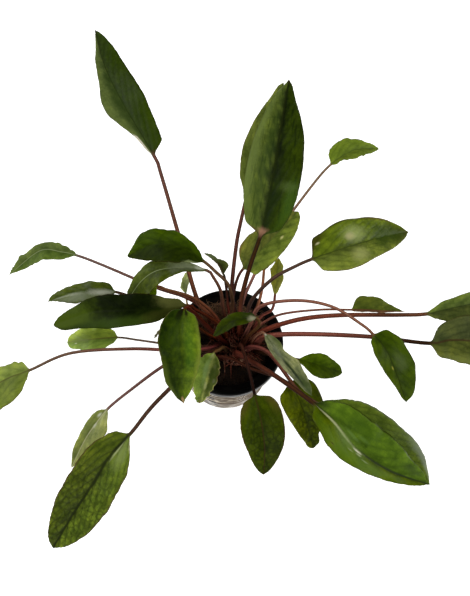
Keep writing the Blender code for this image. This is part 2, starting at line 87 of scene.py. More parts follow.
class Rib(Enum):
    """Looks of a leaf's midrib, as sRGB colours."""

    DARK = "#1d2409"
    BROWN = "#3a2514"
    RED = "#6b3a2b"
    GREEN = "#4a5c26"
    PALE = "#94a070"
    CREAM = "#cfc9a4"


def linear(colour: str) -> tuple[float, float, float, float]:
    """Turn an sRGB hex colour into a linear one.

    Args:
        colour: Six hex digits after a number sign.

    Returns:
        Red, green, blue and an alpha of one.
    """
    parts = [int(colour[i:i + 2], 16) / 255 for i in (1, 3, 5)]
    lit = [p / 12.92 if p <= 0.04045 else ((p + 0.055) / 1.055) ** 2.4 for p in parts]
    return (lit[0], lit[1], lit[2], 1.0)


def add_node(
        tree: NodeTree, kind: str, links: dict[Any, Any] | None = None, out: Any = 0, **settings: Any
) -> NodeSocket:
    """Add a node with its settings and links.

    Args:
        tree: The shader or geometry tree that gets the node.
        kind: Blender's name of the node's type.
        links: Input sockets by name or number, each with a value or the socket that feeds it.
        out: Name or number of the output to give back.
        settings: Properties of the node.

    Returns:
        The chosen output, whose node attribute is the node itself.
    """
    node = tree.nodes.new(kind)
    for name, value in settings.items():
        setattr(node, name, value)
    for name, value in (links or {}).items():
        if isinstance(value, NodeSocket):
            tree.links.new(value, node.inputs[name])
        else:
            node.inputs[name].default_value = value
    return node.outputs[out] if len(node.outputs) else None


def new_material(name: str) -> tuple[Material, AddNode]:
    """Make an empty node material.

    Args:
        name: The material's name.

    Returns:
        The material, and add_node for its tree.
    """
    made = bpy.data.materials.new(name)
    made.use_nodes = True
    made.node_tree.nodes.clear()
    return made, partial(add_node, made.node_tree)


def fineness(size: float) -> float:
    """Give the scale at which a pattern's features are this many millimetres across."""
    return 1.0 / (size * MM)


def new_object(name: str, mesh: Mesh, material: Material | None) -> Object:
    """Link a mesh to the scene as an object at the world's origin.

    Args:
        name: The object's name.
        mesh: Its mesh, in place.
        material: Its material, or None to keep what the mesh has.

    Returns:
        The object.
    """
    obj = bpy.data.objects.new(name, mesh)
    if material is not None:
        mesh.materials.clear()
        mesh.materials.append(material)
    bpy.context.scene.collection.objects.link(obj)
    return obj


def finish_piece(obj: Object, slot: Slot, *nodes: str) -> None:
    """Hand a finished piece to the frame.

    Args:
        obj: The piece, a plain mesh at the origin.
        slot: The record's slot that it is finished with; not used.
        nodes: The solids that it stands for.
    """
    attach(obj, BODY)
    if nodes:
        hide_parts(*nodes)
    LOG.info("%s: %d faces", obj.name, len(obj.data.polygons))


def apply_modifiers(obj: Object) -> None:
    """Replace an object's mesh by what its modifiers make of it, and remove them."""
    graph = bpy.context.evaluated_depsgraph_get()
    mesh = bpy.data.meshes.new_from_object(
        obj.evaluated_get(graph), preserve_all_data_layers=True, depsgraph=graph)
    old = obj.data
    obj.modifiers.clear()
    obj.data = mesh
    bpy.data.meshes.remove(old)


def smoothstep(low: float, high: float, value: float) -> float:
    """Ease from 0 at low to 1 at high."""
    t = min(max((value - low) / (high - low), 0.0), 1.0)
    return t * t * (3.0 - 2.0 * t)


def smooth_path(points: Sequence[Point], count: int) -> list[Vector]:
    """Put points on a smooth curve through the given ones.

    Args:
        points: The points that the curve passes through.
        count: How many points to give back.

    Returns:
        The curve's points, evenly spread over its spans.
    """
    known = [Vector(point) for point in points]
    known = [2 * known[0] - known[1], *known, 2 * known[-1] - known[-2]]
    spans = len(known) - 3
    path = []
    for i in range(count):
        place = i / (count - 1) * spans
        k = min(int(place), spans - 1)
        t = place - k
        a, b, c, d = known[k:k + 4]
        cubic = (3 * b - a - 3 * c + d) * t ** 3
        path.append(0.5 * (2 * b + (c - a) * t + (2 * a - 5 * b + 4 * c - d) * t ** 2 + cubic))
    return path


def at_shares(path: Sequence[Vector], shares: Iterable[float]) -> list[Vector]:
    """Find points of a path at shares of its length.

    Args:
        path: The path's points.
        shares: Shares from 0 to 1, rising.

    Returns:
        One point for each share.
    """
    lengths = [0.0]
    for before, after in zip(path, path[1:]):
        lengths.append(lengths[-1] + (after - before).length)
    found = []
    k = 0
    for share in shares:
        wanted = share * lengths[-1]
        while k < len(path) - 2 and lengths[k + 1] < wanted:
            k += 1
        found.append(path[k].lerp(path[k + 1], (wanted - lengths[k]) / (lengths[k + 1] - lengths[k])))
    return found


def path_length(path: Sequence[Vector]) -> float:
    """Add up the steps of a path."""
    return sum((after - before).length for before, after in zip(path, path[1:]))


MATH = "ShaderNodeMath"
RANGE = "ShaderNodeMapRange"
MIX = "ShaderNodeMix"
NOISE = "ShaderNodeTexNoise"
VORONOI = "ShaderNodeTexVoronoi"
SPLIT = "ShaderNodeSeparateXYZ"
VECTOR = "ShaderNodeVectorMath"
PLACES = "ShaderNodeTexCoord"
BUMP = "ShaderNodeBump"
SURFACE = "ShaderNodeBsdfPrincipled"
END = "ShaderNodeOutputMaterial"
TRANSFORM = "GeometryNodeTransform"
RANDOM = "FunctionNodeRandomValue"

PLACE = "leaf_place"  # across the blade, along it, and 1 on the upper face
LENGTHS = "leaf_lengths"  # the same two in millimetres, and a number of the leaf's own
LIGHTER = (1.65, 1.55, 1.35, 1.0)  # what lighter and darker tissue is multiplied by
DARKER = (0.46, 0.52, 0.42, 1.0)
STALK_PAINTED_SHADE = (0.85, 0.72, 0.68, 1.0)  # and a stalk's sides and the ridge along its top: painted shade on the sides, a painted highlight along the ridge
STALK_PAINTED_HIGHLIGHT = (1.85, 1.62, 1.58, 1.0)


@dataclass(frozen=True)
class Patch:
    """A soft-edged place of another colour on a blade: a worn or dried place, a painted sheen highlight or
    glint, or painted shadow.
    """

    u: float  # across the blade, -1 at the left margin to 1 at the right
    v: float  # along the blade, 0 at its base to 1 at its tip
    reach_u: float
    reach_v: float
    colour: str
    strength: float = 0.8
    edge: float = 0.9  # width of its soft edge, as a share of its reach


@dataclass(frozen=True)
class LeafFinish:
    """Living leaf skin: a waxy cuticle over green tissue, with sunk veins and cells that bulge between them.

    The cuticle's IOR is near 1.45 and its roughness near 0.38. Water marks dull it, so that its gloss is
    less than a clean cuticle's. The colours are those of the tissue under it, for each half of the blade,
    and partly painted light and painted shade where one half lies more in the light than the other.
    Amounts without a unit are strengths from 0 to 1.
    """

    left: str
    right: str
    stalk: str  # at the crown
    stalk_end: str  # where the blade begins
    rib: Rib = Rib.DARK
    under: str = "#7f8a5e"
    margin: str = "#4a3a1c"
    vein: str = "#8f9480"  # what the tissue is multiplied by along the veins
    core: str = "#8a9080"  # and along the midrib
    core_reach: float = 0.12
    core_amount: float = 0.3
    flaming: float = 0.14  # how far the dark core runs out along the side veins
    edge_amount: float = 0.35
    margin_amount: float = 0.3
    veining: float = 0.18
    netting: float = 0.08
    cell: float = 2.4  # mm across the islands between the finest veins, about twice as coarse as real ones
    vein_spacing: float = 6.5  # mm along the midrib from one side vein to the next
    vein_lean: float = 1.6  # rise of a side vein towards the tip, for each millimetre away from the midrib
    quilting: float = 0.25
    mottle: float = 0.6
    streaking: float = 0.3  # strength of the darker lines that run lengthwise
    blend: float = 0.1  # half width, as a share of the blade's, of the change from left to right
    rib_width: float = 0.35  # mm, half of the midrib's width at the blade's base
    rib_amount: float = 0.5
    gloss: float = 0.08
    roughness: float = 0.38
    patches: tuple[Patch, ...] = ()

    SOIL = "#a89a90"  # what a stalk is multiplied by where it is dirty
    CLOUD = 5.5  # mm across the darker and lighter clouds
    GRAIN = 0.9091  # mm across the finest mottling
    STREAK = (0.9091, 8.333)  # mm, width and length of the lengthwise lines
    WANDER_SPAN = 4.5455  # mm along a vein from one stray to the next
    SWAY = 3.0  # mm, how far the net's islands are pushed about, and over what span
    SWAY_SPAN = 2.5
    RIB_TAPER = 0.35  # share of its width that the midrib loses from base to tip
    FLAME_REACH = 4.0  # half widths that the core's edge draws back from a vein to the next, for its flaming
    CLOUD_SHARE = 0.5  # and that the thickest clouds push it in
    CORE_START = 0.15  # half widths that the edge is set out by, to make up for the clouds
    CORE_EDGE = (0.42, -0.05)  # where the core is gone and where it is whole, from there
    BETWEEN_SHARE = 0.6  # how much paler it is between the veins, as a share of the veining
    GRAIN_SHARE = 0.4  # how much darker the grain is, as a share of the mottle
    OUTLINE = 1.6  # where a patch ends, in its own reach plus its fray
    FRAY = 0.42  # how far the clouds and the grain push that outline about
    CRISP = 0.55  # a narrower edge than this isn't frayed by the grain
    VEIN_DEPTH = 0.12  # mm, and so are the next two
    CELL_HEIGHT = 0.1
    GRAIN_HEIGHT = 0.05
    UNDER_ROUGHER = 0.2  # what the underside and the grain add to the roughness
    GRAIN_ROUGHER = 0.12
    STALK_ROUGHNESS = 0.7
    IOR = 1.45

    def material(self, name: str) -> Material:
        """Build the leaf's material.

        Args:
            name: The material's name.

        Returns:
            The finished material.
        """
        made, add = new_material(name)
        place = add("ShaderNodeAttribute", {}, "Vector", attribute_name=PLACE)
        lengths = add("ShaderNodeAttribute", {}, "Vector", attribute_name=LENGTHS)
        u, v, side = add(SPLIT, {0: place}).node.outputs
        x, y = add(SPLIT, {0: lengths}).node.outputs[:2]
        reach = add(MATH, {0: u}, operation="ABSOLUTE")
        x_far = add(MATH, {0: x}, operation="ABSOLUTE")

        # side veins leave the midrib slantwise and bend towards the tip
        bend = add(MATH, {0: x_far, 1: x_far}, operation="MULTIPLY")
        lean = add(MATH, {0: x_far, 1: self.vein_lean}, operation="MULTIPLY")
        rise = add(MATH, {0: bend, 1: VEIN_BEND, 2: lean}, operation="MULTIPLY_ADD")
        level = add(MATH, {0: y, 1: rise}, operation="SUBTRACT")
        wander = add(NOISE, {"Vector": lengths, "Scale": 1.0 / self.WANDER_SPAN, "Detail": 3.0}, "Fac")
        level = add(MATH, {0: wander, 1: VEIN_WANDER, 2: level}, operation="MULTIPLY_ADD")
        right_side = add(MATH, {0: x, 1: 0.0}, operation="GREATER_THAN")
        stagger = add(MATH, {0: right_side, 1: VEIN_STAGGER}, operation="MULTIPLY")
        row = add(MATH, {0: level, 1: 1.0 / self.vein_spacing, 2: stagger}, operation="MULTIPLY_ADD")
        from_vein = add(MATH, {0: row, 1: 0.5}, operation="PINGPONG")

        # the finest veins close a net whose islands a noise makes uneven
        sway = add(NOISE, {"Vector": lengths, "Scale": 1.0 / self.SWAY_SPAN, "Detail": 3.0}, "Color")
        swayed = add(VECTOR, {0: sway, 1: (self.SWAY, self.SWAY, 0.0), 2: lengths}, operation="MULTIPLY_ADD")
        from_net = add(VORONOI, {"Vector": swayed, "Scale": 1.0 / self.cell, "Randomness": 1.0}, "Distance",
                       feature="DISTANCE_TO_EDGE")
        clouds = add(NOISE, {
            "Vector": lengths, "Scale": 1.0 / self.CLOUD, "Detail": 5.0, "Roughness": 0.6}, "Fac")
        grain = add(NOISE, {
            "Vector": lengths, "Scale": 1.0 / self.GRAIN, "Detail": 4.0, "Roughness": 0.65}, "Fac")
        across, along = self.STREAK
        drawn = add(VECTOR, {0: lengths, 1: (1.0 / across, 1.0 / along, 1.0)}, operation="MULTIPLY")
        lines = add(NOISE, {"Vector": drawn, "Scale": 1.0, "Detail": 3.0}, "Fac")

        # the dark tissue along the midrib runs out along the side veins like flames
        flame = add(
            MATH, {0: from_vein, 1: self.FLAME_REACH * self.flaming, 2: reach}, operation="MULTIPLY_ADD")
        flame = add(MATH, {0: clouds, 1: self.CLOUD_SHARE, 2: flame}, operation="MULTIPLY_ADD")
        narrowing = add(
            MATH, {0: v, 1: -self.RIB_TAPER * self.rib_width, 2: self.rib_width}, operation="MULTIPLY_ADD")
        rib_share = add(MATH, {0: x_far, 1: narrowing}, operation="DIVIDE")
        near = self.core_reach + self.CORE_START + self.flaming
        spans = {  # what each mask reads, where it is 0 and where it is 1
            "halves": (u, -self.blend, self.blend),
            "edge": (reach, 0.35, 1.0),
            "dark_cloud": (clouds, 0.5, 0.34),
            "light_cloud": (clouds, 0.5, 0.66),
            "lines": (lines, 0.5, 0.34),
            "grain": (grain, 0.4, 0.62),
            "net": (from_net, 0.24, 0.0),
            "outward": (v, 0.1, 0.55),
            "cells": (from_net, 0.0, 0.32),
            "vein": (from_vein, 0.2, 0.0),
            "fading": (clouds, 0.3, 0.6),
            "between": (from_vein, 0.12, 0.5),
            "core": (flame, *(near + edge for edge in self.CORE_EDGE)),
            "rib": (rib_share, 1.5, 0.4),
            "ridge": (reach, 0.55, 0.1),
            "margin": (reach, 0.92, 0.99),
            "blade": (v, -0.01, 0.05),
            "upper": (side, 0.25, 0.5),
            "along_stalk": (v, -1.0, 0.0),
            "not_margin": (reach, 0.99, 0.8),
        }
        mask = {
            key: add(RANGE, {"Value": value, "From Min": low, "From Max": high},
                     interpolation_type="SMOOTHSTEP")
            for key, (value, low, high) in spans.items()
        }
        pairs = {  # masks that hold only where another one does too
            "vein_here": ("vein", "not_margin"),
            "vein_drawn": ("vein_here", "fading"),
            "net_drawn": ("net", "outward"),
            "lit_ridge": ("ridge", "upper"),
        }
        for key, (first, second) in pairs.items():
            mask[key] = add(MATH, {0: mask[first], 1: mask[second]}, operation="MULTIPLY")
        layers = [
            (mask["edge"], self.edge_amount, LIGHTER, "MULTIPLY"),
            (mask["between"], self.BETWEEN_SHARE * self.veining, LIGHTER, "MULTIPLY"),
            (mask["light_cloud"], self.mottle, LIGHTER, "MULTIPLY"),
            (mask["dark_cloud"], self.mottle, DARKER, "MULTIPLY"),
            (mask["grain"], self.GRAIN_SHARE * self.mottle, DARKER, "MULTIPLY"),
            (mask["lines"], self.streaking, DARKER, "MULTIPLY"),
            (mask["net_drawn"], self.netting, linear(self.vein), "MULTIPLY"),
            (mask["vein_drawn"], self.veining, linear(self.vein), "MULTIPLY"),
            (mask["core"], self.core_amount, linear(self.core), "MULTIPLY"),
            (mask["rib"], self.rib_amount, linear(self.rib.value), "MIX"),
            (mask["margin"], self.margin_amount, linear(self.margin), "MIX"),
        ]
        frays = [add(MATH, {0: clouds, 1: self.OUTLINE, 2: rest}, operation="MULTIPLY_ADD")
                 for rest in (grain, 0.5)]
        for patch in self.patches:
            offset = add(VECTOR, {0: place, 1: (patch.u, patch.v, 0.0)}, operation="SUBTRACT")
            shares = (1.0 / patch.reach_u, 1.0 / patch.reach_v, 0.0)
            scaled = add(VECTOR, {0: offset, 1: shares}, operation="MULTIPLY")
            far = add(VECTOR, {0: scaled}, "Value", operation="LENGTH")
            fray = frays[patch.edge < self.CRISP]  # a crisp edge would break up into grains
            ragged = add(MATH, {0: fray, 1: self.FRAY, 2: far}, operation="MULTIPLY_ADD")
            spot = add(RANGE, {
                "Value": ragged, "From Min": self.OUTLINE, "From Max": self.OUTLINE - patch.edge},
                interpolation_type="SMOOTHSTEP")
            layers.append((spot, patch.strength, linear(patch.colour), "MIX"))
        # each half's own colour, partly with painted light and shade where one half lies more in the light
        shade = add(MIX, {"Factor": mask["halves"], 6: linear(self.left), 7: linear(self.right)}, 2,
                    data_type="RGBA")
        for share, amount, colour, kind in layers:
            strength = add(MATH, {0: share, 1: amount}, operation="MULTIPLY")
            shade = add(MIX, {"Factor": strength, 6: shade, 7: colour}, 2, data_type="RGBA", blend_type=kind)

        # the underside, the stalk, and on the stalk a painted highlight along the ridge of its top and
        # painted shade on its sides
        for key, factor, share in (("under_net", "vein_here", 0.35), ("soiled", "grain", 0.4)):
            mask[key] = add(MATH, {0: mask[factor], 1: share}, operation="MULTIPLY")
        colours = {
            "top": shade, "under": linear(self.under), "right": linear(self.right),
            "stalk": linear(self.stalk), "stalk_end": linear(self.stalk_end), "soil": linear(self.SOIL),
            "side": STALK_PAINTED_SHADE, "painted_highlight": STALK_PAINTED_HIGHLIGHT}
        for share, below, above, kind, result in (
                (mask["under_net"], "under", "right", "MIX", "under"),
                (mask["upper"], "under", "top", "MIX", "blade"),
                (mask["along_stalk"], "stalk", "stalk_end", "MIX", "stalk"),
                (mask["soiled"], "stalk", "soil", "MULTIPLY", "stalk"),
                (mask["lit_ridge"], "side", "painted_highlight", "MIX", "ridge"),
                (1.0, "stalk", "ridge", "MULTIPLY", "stalk"),
                (mask["blade"], "stalk", "blade", "MIX", "leaf")):
            colours[result] = add(MIX, {"Factor": share, 6: colours[below], 7: colours[above]}, 2,
                                  data_type="RGBA", blend_type=kind)

        # what the height map holds is in millimetres, and the bump's distance is one millimetre
        sunk = add(MATH, {0: mask["vein_here"], 1: -self.VEIN_DEPTH * self.veining}, operation="MULTIPLY")
        raised = add(
            MATH, {0: mask["cells"], 1: self.CELL_HEIGHT * self.quilting, 2: sunk}, operation="MULTIPLY_ADD")
        raised = add(MATH, {0: raised, 1: mask["blade"]}, operation="MULTIPLY")
        height = add(MATH, {0: grain, 1: self.GRAIN_HEIGHT, 2: raised}, operation="MULTIPLY_ADD")
        normal = add(BUMP, {"Height": height, "Distance": MM, "Strength": 1.0}, "Normal")
        rough = add(RANGE, {
            "Value": mask["upper"], "To Min": self.roughness + self.UNDER_ROUGHER, "To Max": self.roughness})
        rough = add(MATH, {0: grain, 1: self.GRAIN_ROUGHER, 2: rough}, operation="MULTIPLY_ADD")
        rough = add(RANGE, {"Value": mask["blade"], "To Min": self.STALK_ROUGHNESS, "To Max": rough})
        shader = add(SURFACE, {
            "Base Color": colours["leaf"], "Roughness": rough, "Normal": normal, "IOR": self.IOR,
            "Specular IOR Level": self.gloss}, "BSDF")
        add(END, {"Surface": shader})
        return made


@dataclass(frozen=True)
class LeafForm:
    """One leaf, its stalk and blade grown in one piece."""

    node: str
    root: tuple[float, float]  # distance of the stalk's foot from the crown's middle, and its bearing
    stalk: tuple[Point, ...]
    blade: tuple[Point, ...]
    left: tuple[float, ...]  # half widths at MARGIN_SHARES of the blade, seen from the base
    right: tuple[float, ...]
    finish: LeafFinish
    thick: float = 0.9  # stalk radius at the crown
    fold: tuple[float, float] = (13.0, 13.0)  # degrees that each half rises at the midrib
    droop: tuple[float, float] = (8.0, 8.0)  # degrees that it bends back down towards its margin
    curl: tuple[float, float] = (0.0, 0.0)  # degrees that the margin itself turns up or down
    wave: float = 0.6  # mm, height of the margins' waves
    waves: float = 2.5
    phase: float = 0.0
    ragged: float = 0.15  # mm, depth of the bites and teeth along the margins

    PATH_POINTS = 400
    HALF_STEPS = 12  # faces from the midrib to a margin
    STALK_STEP = 1.8  # mm from one ring of the stalk to the next, and of the blade
    BLADE_STEP = 0.9
    FEWEST_STEPS = (14, 30)  # rings of the shortest stalk and blade
    TAPER = 0.72  # radius of the stalk's end, as a share of its foot's
    BLADE_THICK = 0.55  # mm at the midrib
    EDGE_THICK = 0.28
    FOOT_SINK = 1.0  # mm that the stalk reaches into the crown
    SHEATH = 0.55  # how much wider the foot is than the stalk, as a share
    SHEATH_LENGTH = 7.0  # mm over which that fades
    OPENING = 0.07  # share of the blade over which the round stalk opens into it
    NARROWING = 0.12  # share over which the blade is kept as wide as the stalk
    PUCKER = 0.4  # mm, height of the bulges between side veins
    GROOVE = 0.25  # mm, depth of the midrib's groove above and height of its ridge below
    RIDGE = 0.7
    RIB_SPREAD = 0.8  # mm, how far either reaches to the side
    SAMPLES = 441  # of a margin, from a little before the blade's base to a little past its tip
    OVERRUN = 0.05  # share of the blade that either of them is
    SMOOTHING = 41  # samples that are averaged
    ROUNDING = 0.06  # share of the blade over which its tip is rounded off
    TOOTH = 2.2  # how deep the deepest bites are, for each millimetre of ragged
    TEETH = (52.0, 7.3, 9.1)  # steps of their noise along the blade, between sides and between phases
    LEAST_WIDTH = 0.15  # mm
    NUMBER_STEP = 13.7  # mm in the third direction from one leaf's markings to the next leaf's
    FOLDING = 0.1  # share of a half's width over which it bends up to its full fold
    CURL_START = 0.72  # share of that width where the margin's curl begins
    BLUNTNESS = 0.8  # how far a broad tip reaches past its last width, as a share of that width
    LEAST_TIP = 0.05  # mm
    SWELLS = ((1.0, 1.0, 1.0, 0.37), (0.45, 2.3, 1.7, 0.6))  # height, count, phase, right half's lead
    CALMING = 0.6  # power of the fading of waves and bulges towards the base and the tip
    GROOVE_LOSS = 0.6  # shares of groove and ridge that are gone at the tip
    RIDGE_LOSS = 0.8
    GROOVE_START = 8  # parts of the blade, in the first of which the groove deepens
    TIP_START = 12  # parts of the blade, in the last of which it thins, down to a share of its thickness
    TIP_THICK = 0.15

    def path(self) -> tuple[list[Vector], int]:
        """Lay the curve that the leaf follows.

        Returns:
            Its points, and the index of the one where the blade begins.
        """
        reach, bearing = self.root
        angle = math.radians(bearing)
        foot = (CROWN_CENTRE[0] + reach * math.cos(angle), CROWN_CENTRE[1] + reach * math.sin(angle),
                CROWN_TOP + crown_drop(reach / CROWN_RADIUS) - self.FOOT_SINK)
        points = smooth_path([foot, *self.stalk, *self.blade], self.PATH_POINTS)
        base = Vector(self.blade[0])
        return points, min(range(len(points)), key=lambda i: (points[i] - base).length)

    def margin(self, side: int, shares: Sequence[float]) -> np.ndarray:
        """Give the blade's half widths at shares of its length, in millimetres.

        Args:
            side: 0 for the left half, 1 for the right.
            shares: Where along the blade.

        Returns:
            One half width for each share, rounded off towards the tip.
        """
        fine = np.linspace(-self.OVERRUN, 1.0 + self.OVERRUN, self.SAMPLES)
        drawn = np.interp(fine, (0.0, *MARGIN_SHARES), (0.0, *(self.left, self.right)[side]))
        window = np.hanning(self.SMOOTHING)
        padded = np.pad(drawn, self.SMOOTHING // 2, mode="edge")
        smooth = np.convolve(padded, window / window.sum(), mode="valid")
        past = np.clip((np.array(shares) - 1.0 + self.ROUNDING) / self.ROUNDING, 0.0, 1.0)
        widths = np.interp(shares, fine, smooth) * np.sqrt(1.0 - past ** 2)
        along, sideways, onward = self.TEETH
        teeth = [
            abs(noise.noise(Vector((along * share, sideways * side, onward * self.phase))))
            for share in shares]
        return np.maximum(widths - self.ragged * self.TOOTH * np.array(teeth), self.LEAST_WIDTH)

    def half_section(self, side: int) -> np.ndarray:
        """Trace one half of the blade's section, one unit wide.

        Args:
            side: 0 for the left half, 1 for the right.

        Returns:
            Rows of distance across and height, from the midrib to the margin.
        """
        steps = self.HALF_STEPS
        s = np.linspace(0.0, 1.0, steps + 1)
        middle = (s[1:] + s[:-1]) / 2
        turn = np.array([smoothstep(self.CURL_START, 1.0, m) for m in middle])
        rise = self.fold[side] * np.minimum(middle / self.FOLDING, 1.0)
        slope = np.radians(rise - self.droop[side] * middle + self.curl[side] * turn)
        across = np.concatenate([[0.0], np.cumsum(np.cos(slope)) / steps])
        height = np.concatenate([[0.0], np.cumsum(np.sin(slope)) / steps])
        return np.stack([across, height], 1) / across.max()

    def build(self, number: int) -> None:
        """Loft the leaf and dress it.

        Args:
            number: The leaf's place in the list, which seeds its markings.
        """
        points, joint = self.path()
        blunt = max(self.BLUNTNESS * (self.left[-1] + self.right[-1]) / 2, self.LEAST_TIP)
        points.append(points[-1] + (points[-1] - points[-2]).normalized() * blunt)
        stalk_mm = path_length(points[:joint + 1])
        blade_mm = path_length(points[joint:])
        stalk_steps = max(self.FEWEST_STEPS[0], int(stalk_mm / self.STALK_STEP))
        blade_steps = max(self.FEWEST_STEPS[1], int(blade_mm / self.BLADE_STEP))
        stalk_shares = [i / stalk_steps for i in range(stalk_steps)]
        blade_shares = [0.5 - 0.5 * math.cos(math.pi * i / blade_steps) for i in range(blade_steps + 1)]
        centres = at_shares(points[:joint + 1], stalk_shares) + at_shares(points[joint:], blade_shares)
        halves = [self.half_section(side) for side in (0, 1)]
        margins = [self.margin(side, blade_shares) for side in (0, 1)]
        rings, places, lengths = [], [], []
        u_top = np.linspace(-1.0, 1.0, 2 * self.HALF_STEPS + 1)
        u_ring = np.concatenate([u_top, u_top[-2:0:-1]])
        upper = np.concatenate([np.ones(len(u_top)), np.zeros(len(u_top) - 2)])
        upper[[0, 2 * self.HALF_STEPS]] = 0.5
        for j, (centre, left, normal) in enumerate(self.frames(centres, stalk_steps)):
            on_blade = j >= stalk_steps
            share = blade_shares[j - stalk_steps] if on_blade else 0.0
            far = stalk_mm if on_blade else stalk_mm * stalk_shares[j]
            radius = self.thick * (1.0 + (self.TAPER - 1.0) * (far / stalk_mm))
            radius *= 1.0 + self.SHEATH * math.exp(-((far / self.SHEATH_LENGTH) ** 2))
            round_across = -np.sin(np.pi * u_top / 2) * radius
            round_height = np.cos(np.pi * u_top / 2) * radius
            top = np.stack([round_across, round_height], 1)
            bottom = np.stack([round_across, -round_height], 1)
            if on_blade:
                widths = [float(margin[j - stalk_steps]) for margin in margins]
                # near the base the section is never narrower than the stalk
                limit = radius * (1.0 - smoothstep(0.0, self.NARROWING, share))
                squeeze = np.maximum(1.0, limit / np.array(widths))
                factor = np.where(u_top < 0, squeeze[0], squeeze[1])
                openness = smoothstep(0.0, self.OPENING, share)
                flat = self.blade_section(halves, widths, u_top, share, blade_mm)
                for line in flat:
                    line[:, 0] *= factor
                top, bottom = (
                    rounded * (1.0 - openness) + opened * openness
                    for rounded, opened in zip((top, bottom), flat))
            section = np.concatenate([top, bottom[-2:0:-1]])
            across = np.array(left)[None] * section[:, :1]
            rings.append(np.array(centre)[None] + across + np.array(normal)[None] * section[:, 1:])
            along = share if on_blade else far / stalk_mm - 1.0
            places.append(np.stack([u_ring, np.full(len(u_ring), along), upper], 1))
            y_mm = share * blade_mm if on_blade else far - stalk_mm
            lengths.append(np.stack([
                -section[:, 0], np.full(len(section), y_mm),
                np.full(len(section), self.NUMBER_STEP * number)], 1))
        mesh = loft(self.node, rings, {PLACE: places, LENGTHS: lengths})
        obj = new_object(self.node + "_leaf", mesh, self.finish.material(self.node + "_skin"))
        finish_piece(obj, Slot.LEAF, self.node)

    def frames(self, centres: Sequence[Vector], joint: int) -> list[tuple[Vector, Vector, Vector]]:
        """Set a frame on every section.

        Args:
            centres: The sections' middles.
            joint: Index of the blade's first section.

        Returns:
            Centre, direction to the left and direction up for each section.
        """
        before = [centres[0], *centres[:-1]]
        after = [*centres[1:], centres[-1]]
        tangents = [(b - a).normalized() for a, b in zip(before, after)]
        up = Vector((0.0, 0.0, 1.0))
        sides = [up.cross(tangent).normalized() for tangent in tangents[joint:]]
        for tangent in reversed(tangents[:joint]):
            sides.insert(0, (sides[0] - tangent * sides[0].dot(tangent)).normalized())
        return [
            (centre, side, tangent.cross(side).normalized())
            for centre, tangent, side in zip(centres, tangents, sides)]

    def blade_section(
            self, halves: Sequence[np.ndarray], widths: Sequence[float], u_top: np.ndarray, share: float,
            blade_mm: float
    ) -> tuple[np.ndarray, np.ndarray]:
        """Shape one section of the blade.

        Args:
            halves: The unit sections of the left and the right half.
            widths: Their widths in millimetres.
            u_top: Places across the blade, from the left margin to the right.
            share: How far along the blade the section lies.
            blade_mm: The blade's length.

        Returns:
            The upper and the lower line, each as rows of distance to the left and height.
        """
        envelope = math.sin(math.pi * min(max(share, 0.0), 1.0)) ** self.CALMING
        lines = []
        for side, (half, width) in enumerate(zip(halves, widths)):
            across, height = half.T * width
            s = np.linspace(0.0, 1.0, len(half))
            turn = self.waves * share
            flutter = sum(
                size * math.sin(math.tau * (count * turn + start * self.phase + lag * side))
                for size, count, start, lag in self.SWELLS)
            level = share * blade_mm - self.finish.vein_lean * across - VEIN_BEND * across ** 2
            rows = (level + VEIN_WANDER / 2) / self.finish.vein_spacing + VEIN_STAGGER * side
            bulges = self.PUCKER * self.finish.quilting * np.cos(math.tau * rows) * np.sin(np.pi * s)
            lines.append((across, height + envelope * (self.wave * flutter * s ** 2 - bulges)))
        (left_across, left_height), (right_across, right_height) = lines
        across = np.concatenate([left_across[:0:-1], -right_across])
        height = np.concatenate([left_height[:0:-1], right_height])
        thick = self.BLADE_THICK + (self.EDGE_THICK - self.BLADE_THICK) * np.abs(u_top)
        thick[[0, -1]] = 0.0
        near_rib = np.exp(-((across / self.RIB_SPREAD) ** 2))
        groove = self.GROOVE * near_rib * (1.0 - self.GROOVE_LOSS * share)
        groove = groove * min(share * self.GROOVE_START, 1.0)
        ridge = self.RIDGE * near_rib * (1.0 - self.RIDGE_LOSS * share)
        end = max(min((1.0 - share) * self.TIP_START, 1.0), self.TIP_THICK)
        top = np.stack([across, height + (thick / 2 - groove) * end], 1)
        bottom = np.stack([across, height - (thick / 2 + ridge) * end], 1)
        return top, bottom


def crown_drop(share: float) -> float:
    """Give the height of the crown's dome from its top, at a share of its radius."""
    return -0.6 * smoothstep(0.5, 0.88, share) - 1.6 * smoothstep(0.88, 1.0, share)


